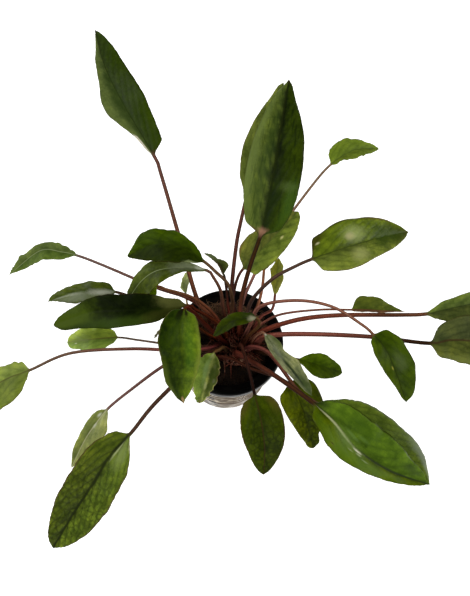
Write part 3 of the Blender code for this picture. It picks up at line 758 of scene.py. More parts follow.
def loft(
        name: str, rings: Sequence[np.ndarray], attributes: dict[str, Sequence[np.ndarray]],
        joined: bool = False
) -> Mesh:
    """Join rings of equally many points, and close both ends at a point or on each other.

    Args:
        name: The mesh's name.
        rings: Points of each ring in millimetres.
        attributes: Vectors to keep on the points, by name, one array for each ring.
        joined: Whether the last ring is joined to the first, instead of closing both.

    Returns:
        The closed mesh in metres, its faces pointing outwards.
    """
    count = len(rings[0])
    ends = [] if joined else [rings[0].mean(axis=0), rings[-1].mean(axis=0)]
    points = np.concatenate([*rings, *(end[None] for end in ends)]) * MM
    first, last = len(rings) * count, len(rings) * count + 1
    faces: list[tuple[int, ...]] = []
    for j in range(len(rings) - (0 if joined else 1)):
        low, high = j * count, (j + 1) % len(rings) * count
        for i in range(count):
            k = (i + 1) % count
            faces.append((low + i, high + i, high + k, low + k))
    for i in range(0 if joined else count):
        k = (i + 1) % count
        faces.append((first, i, k))
        faces.append((last, (len(rings) - 1) * count + k, (len(rings) - 1) * count + i))
    mesh = bpy.data.meshes.new(name)
    mesh.from_pydata(points.tolist(), [], faces)
    for key, values in attributes.items():
        data = np.concatenate([*values, [values[0].mean(axis=0)], [values[-1].mean(axis=0)]])
        layer = mesh.attributes.new(key, "FLOAT_VECTOR", "POINT")
        layer.data.foreach_set("vector", data.astype(np.float32).ravel())
    shape = bmesh.new()
    shape.from_mesh(mesh)
    if shape.calc_volume(signed=True) < 0.0:
        bmesh.ops.reverse_faces(shape, faces=shape.faces)
    shape.to_mesh(mesh)
    shape.free()
    mesh.polygons.foreach_set("use_smooth", [True] * len(mesh.polygons))
    return mesh


LEAVES = (
    LeafForm(
        "leaf_01_back_left_tall", (MIDDLE, 148),
        ((-8, 9, 61), (-16, 13, 68), (-26, 35, 80), (-39, 66, 87)),
        ((-43, 74, 88), (-60, 98, 88), (-72, 119, 84), (-80, 141, 77)),
        (1.8, 2.4, 3.3, 6.3, 9.4, 9.3, 6.3, 4.7, 3.5, 1.9, 0.9, 0.5, 0.3),
        (6.2, 7.3, 8.4, 9.4, 10.4, 10.3, 9.7, 9, 7.9, 6, 3.7, 1.9, 1),
        # the paler left half is partly painted sheen and light, the darker right half partly painted shade
        LeafFinish("#5b6935", "#2d3e02", stalk="#794a32", stalk_end="#583d34", core_reach=0.03,
            core_amount=0.4, mottle=0.4, netting=0.25, veining=0.06, vein_lean=2.8, vein_spacing=9,
            margin_amount=0.15, rib_width=0.32, rib_amount=0.75, streaking=0.12, patches=(
                Patch(-0.2, 0.4, 0.45, 0.5, "#2c3d14", 0.75),
                Patch(-0.95, 0.09, 0.4, 0.1, "#d8d2bc", 0.95, 0.4),
                Patch(0.0, 1.0, 0.7, 0.05, "#33241a", 0.6))),
        thick=1.15, fold=(16, 20), wave=0.5, waves=2.0),
    LeafForm(
        "leaf_02_left_far", (OUTER, 150),
        ((-12, 11, 60), (-22, 14, 68), (-36, 16, 72), (-62, 23, 76)),
        ((-73, 26, 76), (-81, 27, 76), (-91, 27, 74), (-105, 18, 62)),
        (1, 2.1, 4.4, 4.4, 5.6, 5.9, 5.4, 4.3, 3.2, 2.1, 1.1, 0.5, 0.3),
        (1.8, 1.9, 3.7, 4.1, 3.4, 3.2, 3.5, 3.7, 3.6, 2.3, 1.7, 1.1, 0.8),
        LeafFinish("#536727", "#5d6c34", stalk="#7e4838", stalk_end="#5e4e48", rib=Rib.PALE, rib_width=0.22,
            veining=0.12, margin_amount=0.15, patches=(
                Patch(0.3, 0.88, 0.5, 0.1, "#6d7f3c", 0.5),)),
        thick=0.85, fold=(20, 14), wave=0.8, waves=2.0, phase=0.2, ragged=0.6),
    LeafForm(
        "leaf_03_left_grey", (OUTER, 172),
        ((-11, 6, 55), (-21, 9, 62), (-33, 9, 66), (-45, 11, 68)),
        ((-54, 13, 68), (-64, 12, 69), (-74, 11, 66), (-86, 8, 58)),
        (2.5, 3.6, 4.7, 5.3, 5.5, 5.4, 5.7, 4.7, 3.3, 1.9, 0.6, 0.4, 0.1),
        (1.3, 3.8, 4.4, 4.3, 5.2, 4.6, 3.7, 3.5, 3.6, 3.2, 2.3, 1.5, 0.1),
        # the pale grey patches are painted sheen highlights
        LeafFinish("#424e1e", "#485512", stalk="#301408", stalk_end="#3c2a18", rib=Rib.GREEN, gloss=0.16,
            blend=0.4, roughness=0.3, vein_lean=2.2, patches=(
                Patch(-0.5, 0.5, 0.6, 0.6, "#7a8460", 0.55), Patch(-0.1, 0.2, 0.5, 0.22, "#b4b6a4"),
                Patch(-0.15, 0.7, 0.2, 0.4, "#a3a88e", 0.5))),
        fold=(10, 12), phase=0.4, ragged=0.25),
    LeafForm(
        "leaf_04_back_left_dark", (INNER, 100),
        ((0, 6, 66), (0, 11, 79), (-3, 16, 88), (-9, 19.5, 93)),
        ((-14, 23, 94), (-24, 29, 94), (-37, 30, 91), (-49, 26, 84)),
        (1.9, 3.7, 5.9, 7.6, 8.8, 9.2, 8.9, 8.1, 6.7, 4.9, 2.7, 1.8, 1.3),
        (0.5, 1.5, 3.1, 4, 5.8, 7.4, 7.6, 8.1, 7.6, 6.3, 3.2, 1.9, 1),
        LeafFinish("#222e03", "#364a02", stalk="#2d0703", stalk_end="#51412c", core_amount=0.25, blend=0.5,
            gloss=0.03, mottle=0.5, veining=0.25, rib_amount=0.15, quilting=0.1, under="#8f9a66", patches=(
                Patch(-1.0, 0.12, 0.3, 0.1, "#8f9a66", 0.7),)),
        thick=1.0, fold=(10, 10), droop=(10, 14), curl=(0, -30), wave=0.7, phase=0.1, ragged=0.3),
    LeafForm(
        "leaf_05_back_left_bent", (MIDDLE, 124),
        ((-4, 11, 66), (-6, 16, 77), (-10, 20, 84)),
        ((-13, 22, 86), (-23, 22, 87), (-35, 20, 85), (-42, 16, 80), (-47, 10, 73)),
        (1.4, 1.4, 2.5, 2.3, 3.9, 5.2, 7.5, 7.8, 7.2, 6, 4.2, 2.5, 0.2),
        (0.4, 1.1, 2.2, 3.3, 4.2, 4.9, 5.2, 5, 4.1, 3.2, 2.6, 2.5, 2.2),
        # the pale patches near the base are painted sheen highlights
        LeafFinish("#404d02", "#4e5b1c", stalk="#371705", stalk_end="#5c3f2f", rib=Rib.PALE, rib_width=0.22,
            gloss=0.14, veining=0.15, patches=(
                Patch(0.2, 0.22, 1.2, 0.26, "#8f967a", 0.75), Patch(0.2, 0.08, 0.9, 0.07, "#ccd0bc", 0.7))),
        thick=0.95, fold=(14, 10), phase=0.7),
    LeafForm(
        "leaf_06_left_long", (INNER, 180),
        ((-4, 3, 64), (-11, 5, 72), (-17, 6, 77)),
        ((-20, 7, 78), (-37, 3, 80), (-50, 1, 79), (-64, 0, 74), (-80, -5, 66)),
        (1.1, 2, 4.5, 7, 7.9, 8.4, 8.7, 8.2, 7.2, 5.7, 4.4, 2.8, 1.3),
        (3.4, 3.7, 4.5, 6.6, 7.5, 7.7, 7.6, 7, 5.9, 4.8, 3.4, 2.3, 1.2),
        # the near-black halves paint a shadow cast across the middle of the blade, painted shade, and the
        # paler patches at its tip and base stand for its green out of that shadow
        LeafFinish("#192404", "#101803", stalk="#3d1d08", stalk_end="#411b0c", blend=0.4, gloss=0.03,
            rib_amount=0.08, mottle=0.7, veining=0.12, quilting=0.1, patches=(
                Patch(-0.6, 1.1, 2.9, 0.53, "#445514", 0.95, 0.5),
                Patch(-1.1, 0.5, 0.8, 0.48, "#324410", 0.85, 0.5),
                Patch(-0.95, 0.85, 0.5, 0.3, "#1f2b06", 0.6),
                Patch(0.6, 0.0, 1.5, 0.26, "#595c2c", 0.85, 0.54),
                Patch(-0.8, 0.12, 0.9, 0.25, "#363a12", 0.7, 0.5))),
        thick=1.05, fold=(12, 14), wave=0.8, phase=0.3),
    LeafForm(
        "leaf_07_back_small", (MIDDLE, 100),
        ((-1.5, 11, 66), (-3, 15.5, 76), (-4.2, 19, 81)),
        ((-5, 21, 84), (-7, 25, 86), (-11, 28, 87), (-15, 30, 86)),
        (0.6, 0.9, 1.1, 1.2, 1.2, 1.2, 1.2, 1.1, 0.9, 0.7, 0.5, 0.3, 0.2),
        (0.1, 0.3, 1.7, 3.5, 3, 2.1, 1.2, 1.2, 1.1, 1, 0.8, 0.5, 0.3),
        LeafFinish("#4b3d02", "#475020", stalk="#5c2418", stalk_end="#291911", vein_spacing=4, patches=(
                Patch(0.0, 0.85, 1.6, 0.5, "#6f7c50"),)),
        thick=0.8, fold=(30, 16), wave=0.3),
    LeafForm(
        "leaf_08_left_bright", (OUTER, 193),
        ((-10, -4, 53), (-22, -6, 56), (-41, -6, 58)),
        ((-51, -6, 59), (-62, -8, 59), (-74, -9, 53)),
        (1.7, 2.8, 3.8, 4.8, 5.4, 5.6, 5.5, 5.1, 4.5, 4.1, 3.1, 2.3, 1.6),
        (2.4, 3.4, 5.1, 6.3, 7.1, 7.4, 7.2, 6.8, 6, 4.9, 3.5, 2.5, 1.3),
        # the small pale spot near the tip is a painted highlight
        LeafFinish("#829b41", "#93a73d", stalk="#4e3428", stalk_end="#5e5044", rib=Rib.RED, rib_width=0.3,
            core_amount=0.1, gloss=0.16, roughness=0.26, mottle=0.4, vein_spacing=5, patches=(
                Patch(0.0, 0.75, 0.6, 0.4, "#6a7b34"), Patch(-0.3, 0.8, 0.1, 0.04, "#ccd2a8", 0.7))),
        thick=0.65, fold=(14, 10), wave=0.8, waves=3.0, ragged=0.3),
    LeafForm(
        "leaf_09_left_outer", (MIDDLE, 196),
        ((-9, -6, 57), (-22, -10, 62), (-44, -13, 67), (-71, -18, 67)),
        ((-89, -26, 60), (-98, -30, 58), (-108, -35, 53), (-125, -42, 43)),
        (2.1, 4.7, 9, 11.7, 12.6, 12.6, 12.3, 11.4, 9.8, 7.7, 5.2, 2.9, 0.2),
        (5.2, 5.6, 6.3, 6.1, 7.9, 7.9, 7.5, 6.9, 5.9, 4.6, 3.1, 1.7, 0.2),
        LeafFinish("#6a792c", "#7f8f41", stalk="#763e3b", stalk_end="#584a3a", rib=Rib.BROWN,
            core_amount=0.2, veining=0.22, mottle=0.45, margin="#6b4a2c", vein_spacing=7),
        fold=(14, 10), wave=0.9, phase=0.5, ragged=0.5),
    LeafForm(
        "leaf_10_over_pot", (INNER, 220),
        ((-4, -2, 61), (-11, 1, 70), (-17, 4, 78)),
        ((-21, 4, 83), (-22, -7, 86), (-20, -18, 84), (-19, -28, 79), (-17, -37, 72)),
        (3.4, 5.8, 7.6, 8.6, 9, 8.8, 8.3, 7.3, 6.1, 4.5, 2.2, 0.6, 0.1),
        (3.2, 5.6, 7.8, 9, 10.3, 10, 9.3, 8.2, 7.5, 5.1, 3.3, 1.7, 0.1),
        # the pale left half with its paler margin and the dark right half are partly painted light and
        # painted shade across the blade
        LeafFinish("#586e15", "#223302", stalk="#2d0a04", stalk_end="#4b1905", rib_amount=0.05, gloss=0.06,
            core_amount=0.1, veining=0.14, netting=0.15, mottle=0.9, blend=0.8, vein_spacing=5.5,
            margin="#6a6428", margin_amount=0.55, patches=(
                Patch(0.22, 0.08, 0.3, 0.12, "#120a05", 0.95, 0.7),
                Patch(-0.3, 0.05, 0.22, 0.09, "#150d06", 0.9, 0.7),
                Patch(-1.0, 0.6, 0.3, 0.7, "#7f8c34", 0.6), Patch(0.2, 0.3, 0.5, 0.3, "#24380a", 0.6),
                Patch(-0.45, 0.42, 0.4, 0.35, "#46741c", 0.3), Patch(0.9, 0.75, 0.3, 0.3, "#5a6a20", 0.5),
                Patch(0.1, 0.98, 0.5, 0.07, "#a8895c", 0.9, 0.6))),
        thick=1.1, fold=(16, 14), droop=(14, 12), wave=0.7, phase=0.1),
    LeafForm(
        "leaf_11_pale_drying", (MIDDLE, 248),
        ((-2, -6, 61), (-4, -9, 66)),
        ((-6, -11, 68), (-8, -19, 70), (-9, -27, 68), (-10, -33, 62)),
        (1.2, 2.6, 4.3, 5.5, 6, 5.9, 5.5, 4.8, 3.9, 2.9, 1.7, 1.7, 1.3),
        (1.3, 2.8, 4.7, 6, 6.5, 6.4, 5.9, 5.2, 4.3, 3.8, 2.8, 2.1, 1.5),
        LeafFinish("#939c50", "#708634", stalk="#1d0c0a", stalk_end="#564022", rib_amount=0.1, mottle=0.8,
            veining=0.15, margin="#a08a5c", margin_amount=0.7, patches=(
                Patch(-0.95, 0.45, 0.2, 0.16, "#4a2c16", 0.85),
                Patch(-0.6, 0.28, 0.2, 0.06, "#c0bb94", 0.7), Patch(-0.75, 0.7, 0.15, 0.06, "#c0bb94", 0.6),
                Patch(-0.35, 0.5, 0.2, 0.5, "#2f3a0e", 0.75), Patch(-0.8, 0.25, 0.25, 0.1, "#3a3f12"),
                Patch(0.1, 0.38, 0.3, 0.36, "#7c9458", 0.5), Patch(-0.15, 0.62, 0.2, 0.1, "#a6ab74", 0.6),
                Patch(-0.1, 0.04, 0.6, 0.12, "#a0a468", 0.7), Patch(-0.7, 0.52, 0.14, 0.05, "#cfc9a4"),
                Patch(-0.65, 0.5, 0.4, 0.6, "#35460f", 0.85, 0.6),
                Patch(0.2, 0.97, 0.5, 0.07, "#6a4a28", 0.6))),
        fold=(20, 18), curl=(-40, 0), wave=0.9, waves=3.0, ragged=0.7),
    LeafForm(
        "leaf_12_withered", (MIDDLE, 172),
        ((-9, 0, 58), (-16, 2, 64)),
        ((-22, 2, 66), (-27, 0, 67), (-32, -3, 66), (-34, -6, 64)),
        (0.9, 1.4, 1.9, 2.3, 2.5, 2.5, 2.3, 1.9, 1.4, 0.8, 0.7, 0.1, 0.1),
        (1.5, 2.5, 3.5, 4.1, 4.5, 4.5, 3.7, 1.2, 0.5, 1, 1.1, 0.9, 0.1),
        LeafFinish("#a09c84", "#8f8a70", stalk="#5b2208", stalk_end="#3a2410", rib=Rib.BROWN, mottle=0.7,
            vein_spacing=3.5, under="#a8a48c", roughness=0.5),
        thick=0.8, fold=(36, 26), curl=(60, -80), wave=1.1, waves=2.6, ragged=0.4),
    LeafForm(
        "leaf_13_front_left_big", (MIDDLE, 222),
        ((-6, -7, 58), (-12, -13, 62), (-19, -22.5, 65), (-31, -38.5, 67)),
        ((-39, -51, 65), (-48, -63, 62), (-53, -73, 58), (-61, -87, 51), (-69, -102, 42)),
        (0.8, 4.5, 9.3, 11.7, 11.8, 12.6, 13, 12.2, 11, 8.7, 5.7, 3.2, 1.5),
        (2.9, 6.7, 8.6, 10.3, 11.4, 11.8, 11.5, 10.7, 9.7, 8.1, 5.7, 3.7, 2.2),
        # the pale streak by the midrib and the paler patch near the base of the left half are painted
        # highlights
        LeafFinish("#5a6d1f", "#4e5c16", stalk="#3c2018", stalk_end="#3e2d21", core="#6a6658",
            core_reach=0.0, core_amount=0.6, flaming=0.06, vein="#6c6658", veining=0.45, netting=0.5,
            cell=3.2, rib_width=0.75, rib_amount=0.85, quilting=0.5, mottle=0.7, streaking=0.45, blend=0.3,
            vein_lean=2.2, margin="#5a3424", margin_amount=0.6, vein_spacing=7.5, patches=(
                Patch(-0.12, 0.16, 0.07, 0.12, "#a9b07c", 0.7), Patch(-0.92, 0.07, 0.2, 0.06, "#b3ad8c"),
                Patch(-0.45, 0.16, 0.4, 0.16, "#7f8f48", 0.75))),
        thick=1.2, fold=(14, 12), wave=0.8, waves=3.0, ragged=0.3),
    LeafForm(
        "leaf_14_front_left_pale", (OUTER, 214),
        ((-9, -6, 53), (-17, -9, 55), (-29, -17, 57), (-43, -30, 56)),
        ((-52, -39, 54), (-57, -47, 53), (-61, -54, 50), (-66, -66, 44)),
        (1.6, 2.6, 3.9, 6.4, 6.8, 6.7, 6.2, 5.6, 4.6, 3.4, 2.1, 1.1, 0.2),
        (0.6, 2.5, 3.9, 4, 3.9, 3.7, 3.7, 3.3, 3, 2.2, 1.3, 0.8, 0.2),
        # the two whitish spots are painted highlights of the blade's shine
        LeafFinish("#99a060", "#7c8644", stalk="#48281e", stalk_end="#634844", rib=Rib.CREAM,
            rib_width=0.25, rib_amount=0.6, core_amount=0.1, gloss=0.16, roughness=0.28, vein_spacing=6,
            vein_lean=2.4, patches=(
                Patch(0.3, 0.14, 0.25, 0.06, "#e0e2cc", 0.7), Patch(0.0, 0.3, 0.14, 0.06, "#e0e2cc", 0.5))),
        fold=(12, 12)),
    LeafForm(
        "leaf_15_back_upright_big", (INNER, 60),
        ((4, 7, 70), (4, 12, 86), (6, 22, 97)),
        ((9, 34, 103), (11, 46, 107), (12, 59, 111), (13, 78, 112), (14, 94, 110), (15, 112, 105)),
        (6.2, 8.8, 10.7, 12.3, 12.4, 12.1, 11.2, 9.7, 7.6, 5.3, 2.9, 1, 0.1),
        (5.9, 8.5, 10.8, 12.1, 12.5, 12.5, 11.8, 10, 7.2, 4.9, 2.9, 1.8, 0.1),
        # the thin pale crease across the right half is a painted highlight
        LeafFinish("#566527", "#2a3903", stalk="#54291b", stalk_end="#281903", core="#4c5844",
            core_amount=0.8, flaming=0.05, vein_lean=2.0, vein_spacing=8, veining=0.22, netting=0.25,
            cell=3.0, mottle=0.45, streaking=0.8, rib_width=0.5, rib_amount=0.8, edge_amount=0.5,
            margin_amount=0.15, patches=(
                Patch(0.0, 0.012, 0.7, 0.06, "#a2785e", 1.0, 0.6),
                Patch(-0.9, 0.5, 0.35, 0.7, "#6e7e40", 0.6), Patch(0.8, 0.2, 0.4, 0.2, "#44641c", 0.5),
                Patch(0.6, 0.3, 0.5, 0.04, "#5c7038", 0.35), Patch(-0.45, 0.3, 0.3, 0.3, "#34461a", 0.5),
                Patch(0.16, 0.2, 0.3, 0.25, "#1c2c08", 0.5), Patch(-0.3, 0.55, 0.3, 0.35, "#2c4012", 0.5),
                Patch(0.3, 1.0, 0.8, 0.05, "#4a3524", 0.7), Patch(-0.8, 0.03, 0.5, 0.035, "#5a3c20", 0.7))),
        thick=1.3, fold=(16, 14), wave=0.8, phase=0.2),
    LeafForm(
        "leaf_16_back_behind", (MIDDLE, 76),
        ((1, 12, 66), (-1, 17, 79), (-1, 34, 91), (0, 45, 94)),
        ((1, 54, 95), (3, 69, 97), (5, 87, 96), (9, 102, 93), (13, 118, 88)),
        (0.7, 2.6, 5.5, 6.5, 7, 6.4, 5.5, 4.8, 4, 3, 2.3, 1.7, 1),
        (2.7, 4.5, 6.4, 7.7, 8.3, 8.2, 7.6, 6.7, 5.4, 3.9, 2.3, 1, 0.2),
        LeafFinish("#677331", "#505a22", stalk="#270d05", stalk_end="#54352d", margin="#5a3a24",
            margin_amount=0.7, vein_lean=2.8, vein_spacing=10),
        thick=1.1, fold=(12, 14), phase=0.6),
    LeafForm(
        "leaf_17_back_light", (OUTER, 106),
        ((0, 12, 62), (0, 17, 71), (1, 22, 78)),
        ((3, 26, 81), (9, 33, 84), (17, 44, 83), (25.5, 57, 80)),
        (1.7, 5.7, 8.3, 8.9, 9.2, 8.4, 7.9, 7.1, 6, 4.6, 2.9, 1.6, 0.2),
        (5.1, 7, 7.1, 8.1, 8.4, 8.3, 7.7, 7, 6.3, 4.9, 3.4, 2.4, 1.5),
        LeafFinish("#656b2b", "#6a792d", stalk="#2f1105", stalk_end="#4f3027", rib=Rib.GREEN, rib_width=0.3,
            veining=0.35, mottle=0.7, margin="#6b5a30", margin_amount=0.5, patches=(
                Patch(-1.0, 0.15, 0.25, 0.12, "#6b4a28", 0.6), Patch(0.38, 0.59, 0.1, 0.04, "#cfc886"))),
        fold=(12, 10), wave=0.7, phase=0.8),
    LeafForm(
        "leaf_18_back_right_small", (OUTER, 84),
        ((4, 14, 60), (7, 23, 69), (15.8, 44.6, 75), (30.4, 70.4, 78)),
        ((39, 83, 79), (48, 91, 79), (55, 94, 77), (62, 96, 74)),
        (1.6, 4.5, 6.2, 6.8, 7.1, 6.9, 6, 4.7, 3.2, 2.7, 1.8, 0.9, 0.1),
        (1.7, 1.8, 2.3, 3.3, 4.1, 4.7, 4.8, 4.2, 3.4, 2.5, 1.5, 0.7, 0.1),
        LeafFinish("#6d8226", "#6b7d28", stalk="#8b5e57", stalk_end="#73624d", rib=Rib.GREEN,
            core_amount=0.2, veining=0.22, vein_spacing=5, mottle=0.4),
        thick=0.8, fold=(12, 12), phase=0.3, ragged=0.6),
    LeafForm(
        "leaf_19_right_broad", (MIDDLE, 50),
        ((7.4, 9.6, 61), (8.8, 15.2, 71), (17, 23.3, 80), (27, 29, 85)),
        ((33.3, 32.4, 86), (42, 36.4, 87), (51, 41, 86), (62, 47, 82), (78, 55, 75)),
        (6.7, 9.3, 10.1, 11.6, 12.6, 12.5, 11.8, 10.9, 9.2, 7.1, 4.5, 2, 0.3),
        (5.7, 7.6, 9.7, 10.9, 11, 10.2, 9.2, 8.2, 7, 5.3, 3.3, 1.7, 0.3),
        # the three pale patches in the middle of the blade are painted sheen highlights
        LeafFinish("#677a1a", "#738132", stalk="#342119", stalk_end="#463529", rib_width=0.28,
            core_reach=0.05, core_amount=0.45, gloss=0.16, roughness=0.26, veining=0.28, netting=0.35,
            margin="#6b3f2c", margin_amount=0.4, mottle=0.5, patches=(
                Patch(-0.42, 0.45, 0.45, 0.16, "#aebb70", 0.55),
                Patch(-0.36, 0.4, 0.2, 0.07, "#d0c490", 0.5), Patch(0.5, 0.42, 0.5, 0.12, "#b0b46c", 0.6),
                Patch(-1.0, 0.02, 0.6, 0.2, "#3d3410", 0.8, 0.54), Patch(-0.62, 0.1, 0.07, 0.03, "#dcd6a4"),
                Patch(0.0, 1.0, 0.7, 0.07, "#5a3322"), Patch(-1.0, 0.75, 0.2, 0.22, "#6b4028", 0.6),
                Patch(0.0, 0.3, 0.35, 0.2, "#3c481a", 0.5), Patch(0.1, 0.95, 1.4, 0.3, "#4a4a16", 0.65),
                Patch(0.05, 0.78, 1.0, 0.3, "#33480a"))),
        fold=(12, 12), thick=1.05, wave=0.35, phase=0.4, ragged=0.1),
    LeafForm(
        "leaf_20_right_olive", (OUTER, 40),
        ((14, 10, 64), (18, 11.5, 69), (19, 14, 72)),
        ((19, 18, 74), (19, 24, 75), (19, 36, 73)),
        (1, 1.2, 1.6, 2.4, 2.9, 2.8, 3.1, 3.7, 2.3, 1.7, 1, 0.5, 0.2),
        (1.3, 1.3, 1.9, 2.5, 3.2, 3.4, 2.9, 2.6, 2.8, 2.1, 1.3, 0.8, 0.5),
        LeafFinish("#949332", "#989a42", stalk="#895045", stalk_end="#593127", rib_amount=0.15,
            core_amount=0.1, vein_spacing=4),
        thick=0.85, wave=0.3),
    LeafForm(
        "leaf_21_back_hidden", (OUTER, 62),
        ((10, 12, 58), (12, 16, 63), (13, 23, 67)),
        ((13, 31, 68), (13, 39, 69), (15, 51, 66)),
        (1.3, 2.2, 3.2, 4, 4.5, 4.8, 4.8, 4.5, 3.9, 3.1, 2.1, 1.2, 0.2),
        (1.1, 2.1, 3, 3.7, 4.2, 4.5, 4.5, 4.2, 3.7, 2.9, 2, 1.1, 0.2),
        LeafFinish("#5c6a2a", "#5a662a", stalk="#573c24", stalk_end="#9c684f", vein_spacing=4.5),
        wave=0.5),
    LeafForm(
        "leaf_22_right_folded", (MIDDLE, 24),
        ((14, 7.4, 59), (23, 11.3, 66), (40, 13.2, 73)),
        ((54, 13.8, 76), (61, 14.2, 77), (68, 14.7, 76.5), (79, 15.8, 75.5)),
        (1.4, 4.7, 6.4, 6.6, 6.4, 6.3, 5.5, 4.3, 2.9, 1.7, 0.6, 0.1, 0.1),
        (1.3, 1.2, 1.4, 1.6, 1.6, 1.5, 1.3, 1.1, 0.8, 0.5, 0.2, 0.1, 0.2),
        LeafFinish("#505b1c", "#664a34", stalk="#8a5c50", stalk_end="#5b3827", rib=Rib.RED, core_amount=0.2,
            margin="#8a8c58", margin_amount=0.4, vein_spacing=5),
        thick=0.65, fold=(14, 50), wave=0.5),
    LeafForm(
        "leaf_23_right_far_upper", (OUTER, 20),
        ((17, 6, 57), (32, 10.3, 64.5), (50, 13.2, 68), (77, 16, 69)),
        ((89, 18, 68), (98, 21, 68), (109, 25, 67), (124, 30, 63), (142, 36, 55)),
        (1.3, 2, 4.2, 4.9, 5.5, 5.9, 5.6, 5.1, 4.3, 3.3, 2.1, 1.1, 0.2),
        (1.8, 3.5, 5.9, 8, 9.3, 9.4, 9, 8.2, 6.9, 5.3, 3.4, 1.8, 0.2),
        LeafFinish("#627330", "#4e5828", stalk="#7e4232", stalk_end="#563826", core_amount=0.35,
            vein_lean=2.2, vein_spacing=8),
        thick=1.25, fold=(14, 12), wave=0.9, phase=0.1),
    LeafForm(
        "leaf_24_right_far_lower", (OUTER, 0),
        ((18, 3, 57), (37, 3.2, 66), (65, 3.5, 71)),
        ((91, 3, 72), (101, 5, 74), (113, 6, 73), (128, 7, 69), (146, 9, 61)),
        (3.5, 6, 8.9, 10.9, 12.2, 12.6, 12.3, 11.4, 9.8, 7.7, 5.2, 2.9, 0.2),
        (3.9, 8.2, 10.2, 11.5, 12.2, 12.5, 12.2, 11.3, 9.7, 7.7, 5.1, 2.9, 0.2),
        LeafFinish("#49512a", "#545c25", stalk="#8c5549", stalk_end="#251605", rib=Rib.BROWN,
            rib_width=0.55, rib_amount=0.7, vein="#7c7464", veining=0.25, vein_lean=2.2, netting=0.35,
            quilting=0.4, vein_spacing=8, patches=(
                Patch(0.9, 0.35, 0.35, 0.4, "#79823f", 0.5),)),
        thick=1.25, fold=(16, 12), wave=0.9, phase=0.5, ragged=0.3),
    LeafForm(
        "leaf_25_right_arched", (INNER, 20),
        ((9, 5, 63), (13, 11, 76), (29, 12, 87), (45, 10, 89), (59, 4, 86)),
        ((64, 1, 84), (71, -6, 83), (77, -15, 77), (83, -25, 69)),
        (4.5, 6, 7, 8.8, 8.5, 9, 9.3, 8.7, 7.5, 6.1, 4.2, 2.7, 0.1),
        (3.4, 3.7, 5.1, 6.2, 6.1, 5.5, 4.6, 3.7, 2.7, 2, 1.3, 0.6, 0.1),
        LeafFinish("#374a02", "#3c4e02", stalk="#80554a", stalk_end="#70503e", veining=0.2, mottle=0.5,
            patches=(
                Patch(0.15, 0.5, 0.1, 0.04, "#a09c3e"), Patch(-0.4, 0.45, 0.4, 0.2, "#5c6a3a", 0.4))),
        fold=(16, 14)),
    LeafForm(
        "leaf_26_right_small", (OUTER, 338),
        ((16, -5, 56), (24.5, -7.8, 60)),
        ((33, -8, 61), (43, -10, 62), (54, -11, 57)),
        (1, 1.6, 3.2, 4.5, 5.3, 5.6, 5.3, 5.1, 4.3, 3.5, 2.3, 1.3, 0.3),
        (1.4, 2, 2.8, 4.2, 5.7, 6.3, 6, 5.4, 4.5, 3.4, 2.3, 1.3, 0.3),
        LeafFinish("#506808", "#465a04", stalk="#251205", stalk_end="#4a3822", rib_amount=0.2, gloss=0.05,
            vein_spacing=4.5),
        thick=0.8, fold=(14, 12), wave=0.5),
    LeafForm(
        "leaf_27_turned_over", (MIDDLE, 354),
        ((12, 0, 64), (14, 0, 70)),
        ((16, -1, 73), (22, -9, 76), (30, -17, 76), (40, -27, 71)),
        (1.2, 2.1, 3.1, 3.8, 2.6, 3.2, 4.5, 3.9, 3.5, 2.7, 1.8, 0.9, 0.2),
        (0.9, 1.6, 2.3, 2.9, 3.3, 3.4, 3.3, 3, 2.6, 2, 1.3, 0.7, 0.2),
        # the grey patch and the white spot at the base are painted sheen highlights
        LeafFinish("#82875c", "#7f845f", stalk="#7a4632", stalk_end="#8e6851", rib=Rib.GREEN, gloss=0.16,
            mottle=0.8, streaking=0.6, vein_lean=2.4, vein_spacing=7, patches=(
                Patch(0.0, 1.0, 1.6, 0.5, "#3c4c1c", 0.85),
                Patch(0.15, 0.6, 0.26, 0.3, "#23300f", 0.95, 0.7), Patch(-0.8, 0.18, 0.7, 0.16, "#47581f"),
                Patch(0.1, 0.3, 0.4, 0.2, "#8f937c", 0.4), Patch(0.0, 0.02, 0.6, 0.03, "#e4e2d6"))),
        fold=(20, 20)),
    LeafForm(
        "leaf_28_front_right_olive", (OUTER, 238),
        ((-4, -9, 56), (3, -11, 60), (12, -15, 62)),
        ((29, -20, 63), (36, -29, 61), (40, -37, 55), (44, -45, 47)),
        (4.7, 7, 9.5, 10.1, 10.3, 9.4, 8.5, 7.2, 5.5, 3.8, 3.7, 2.3, 1.2),
        (7.1, 7.6, 8.4, 8.8, 8.6, 7.9, 6.9, 5.7, 4.7, 3.6, 2.8, 2.1, 1.5),
        LeafFinish("#434f02", "#566103", stalk="#3c1c14", stalk_end="#42281a", vein="#7c7464", veining=0.2,
            netting=0.55, quilting=0.4, margin="#4e2c18", gloss=0.05, vein_spacing=5.5),
        thick=0.85, fold=(12, 12)),
    LeafForm(
        "leaf_29_front_right_big", (MIDDLE, 284),
        ((5, -8, 61), (11, -13, 68), (24, -22, 77)),
        ((40, -33, 82), (50, -41, 84), (61, -51, 80), (77, -58, 73), (96, -60, 62)),
        (4.7, 5.9, 9.4, 11.9, 13.6, 14.2, 13.8, 12.7, 10.8, 8.3, 5.4, 2.9, 0.2),
        (4.2, 6.3, 8, 9.6, 9, 7.9, 6.7, 5.2, 4.1, 3.5, 2.2, 1.1, 0.3),
        # the cream streak beside the midrib and the small white flecks round it are painted highlights
        LeafFinish("#506b18", "#4a5a02", stalk="#56281e", stalk_end="#33200f", rib_width=0.45,
            rib_amount=0.8, core_amount=0.35, gloss=0.06, roughness=0.27, veining=0.2, netting=0.0,
            quilting=0.1, vein_lean=2.4, vein_spacing=11, edge_amount=0.15, margin="#3a3c12",
            margin_amount=0.6, patches=(
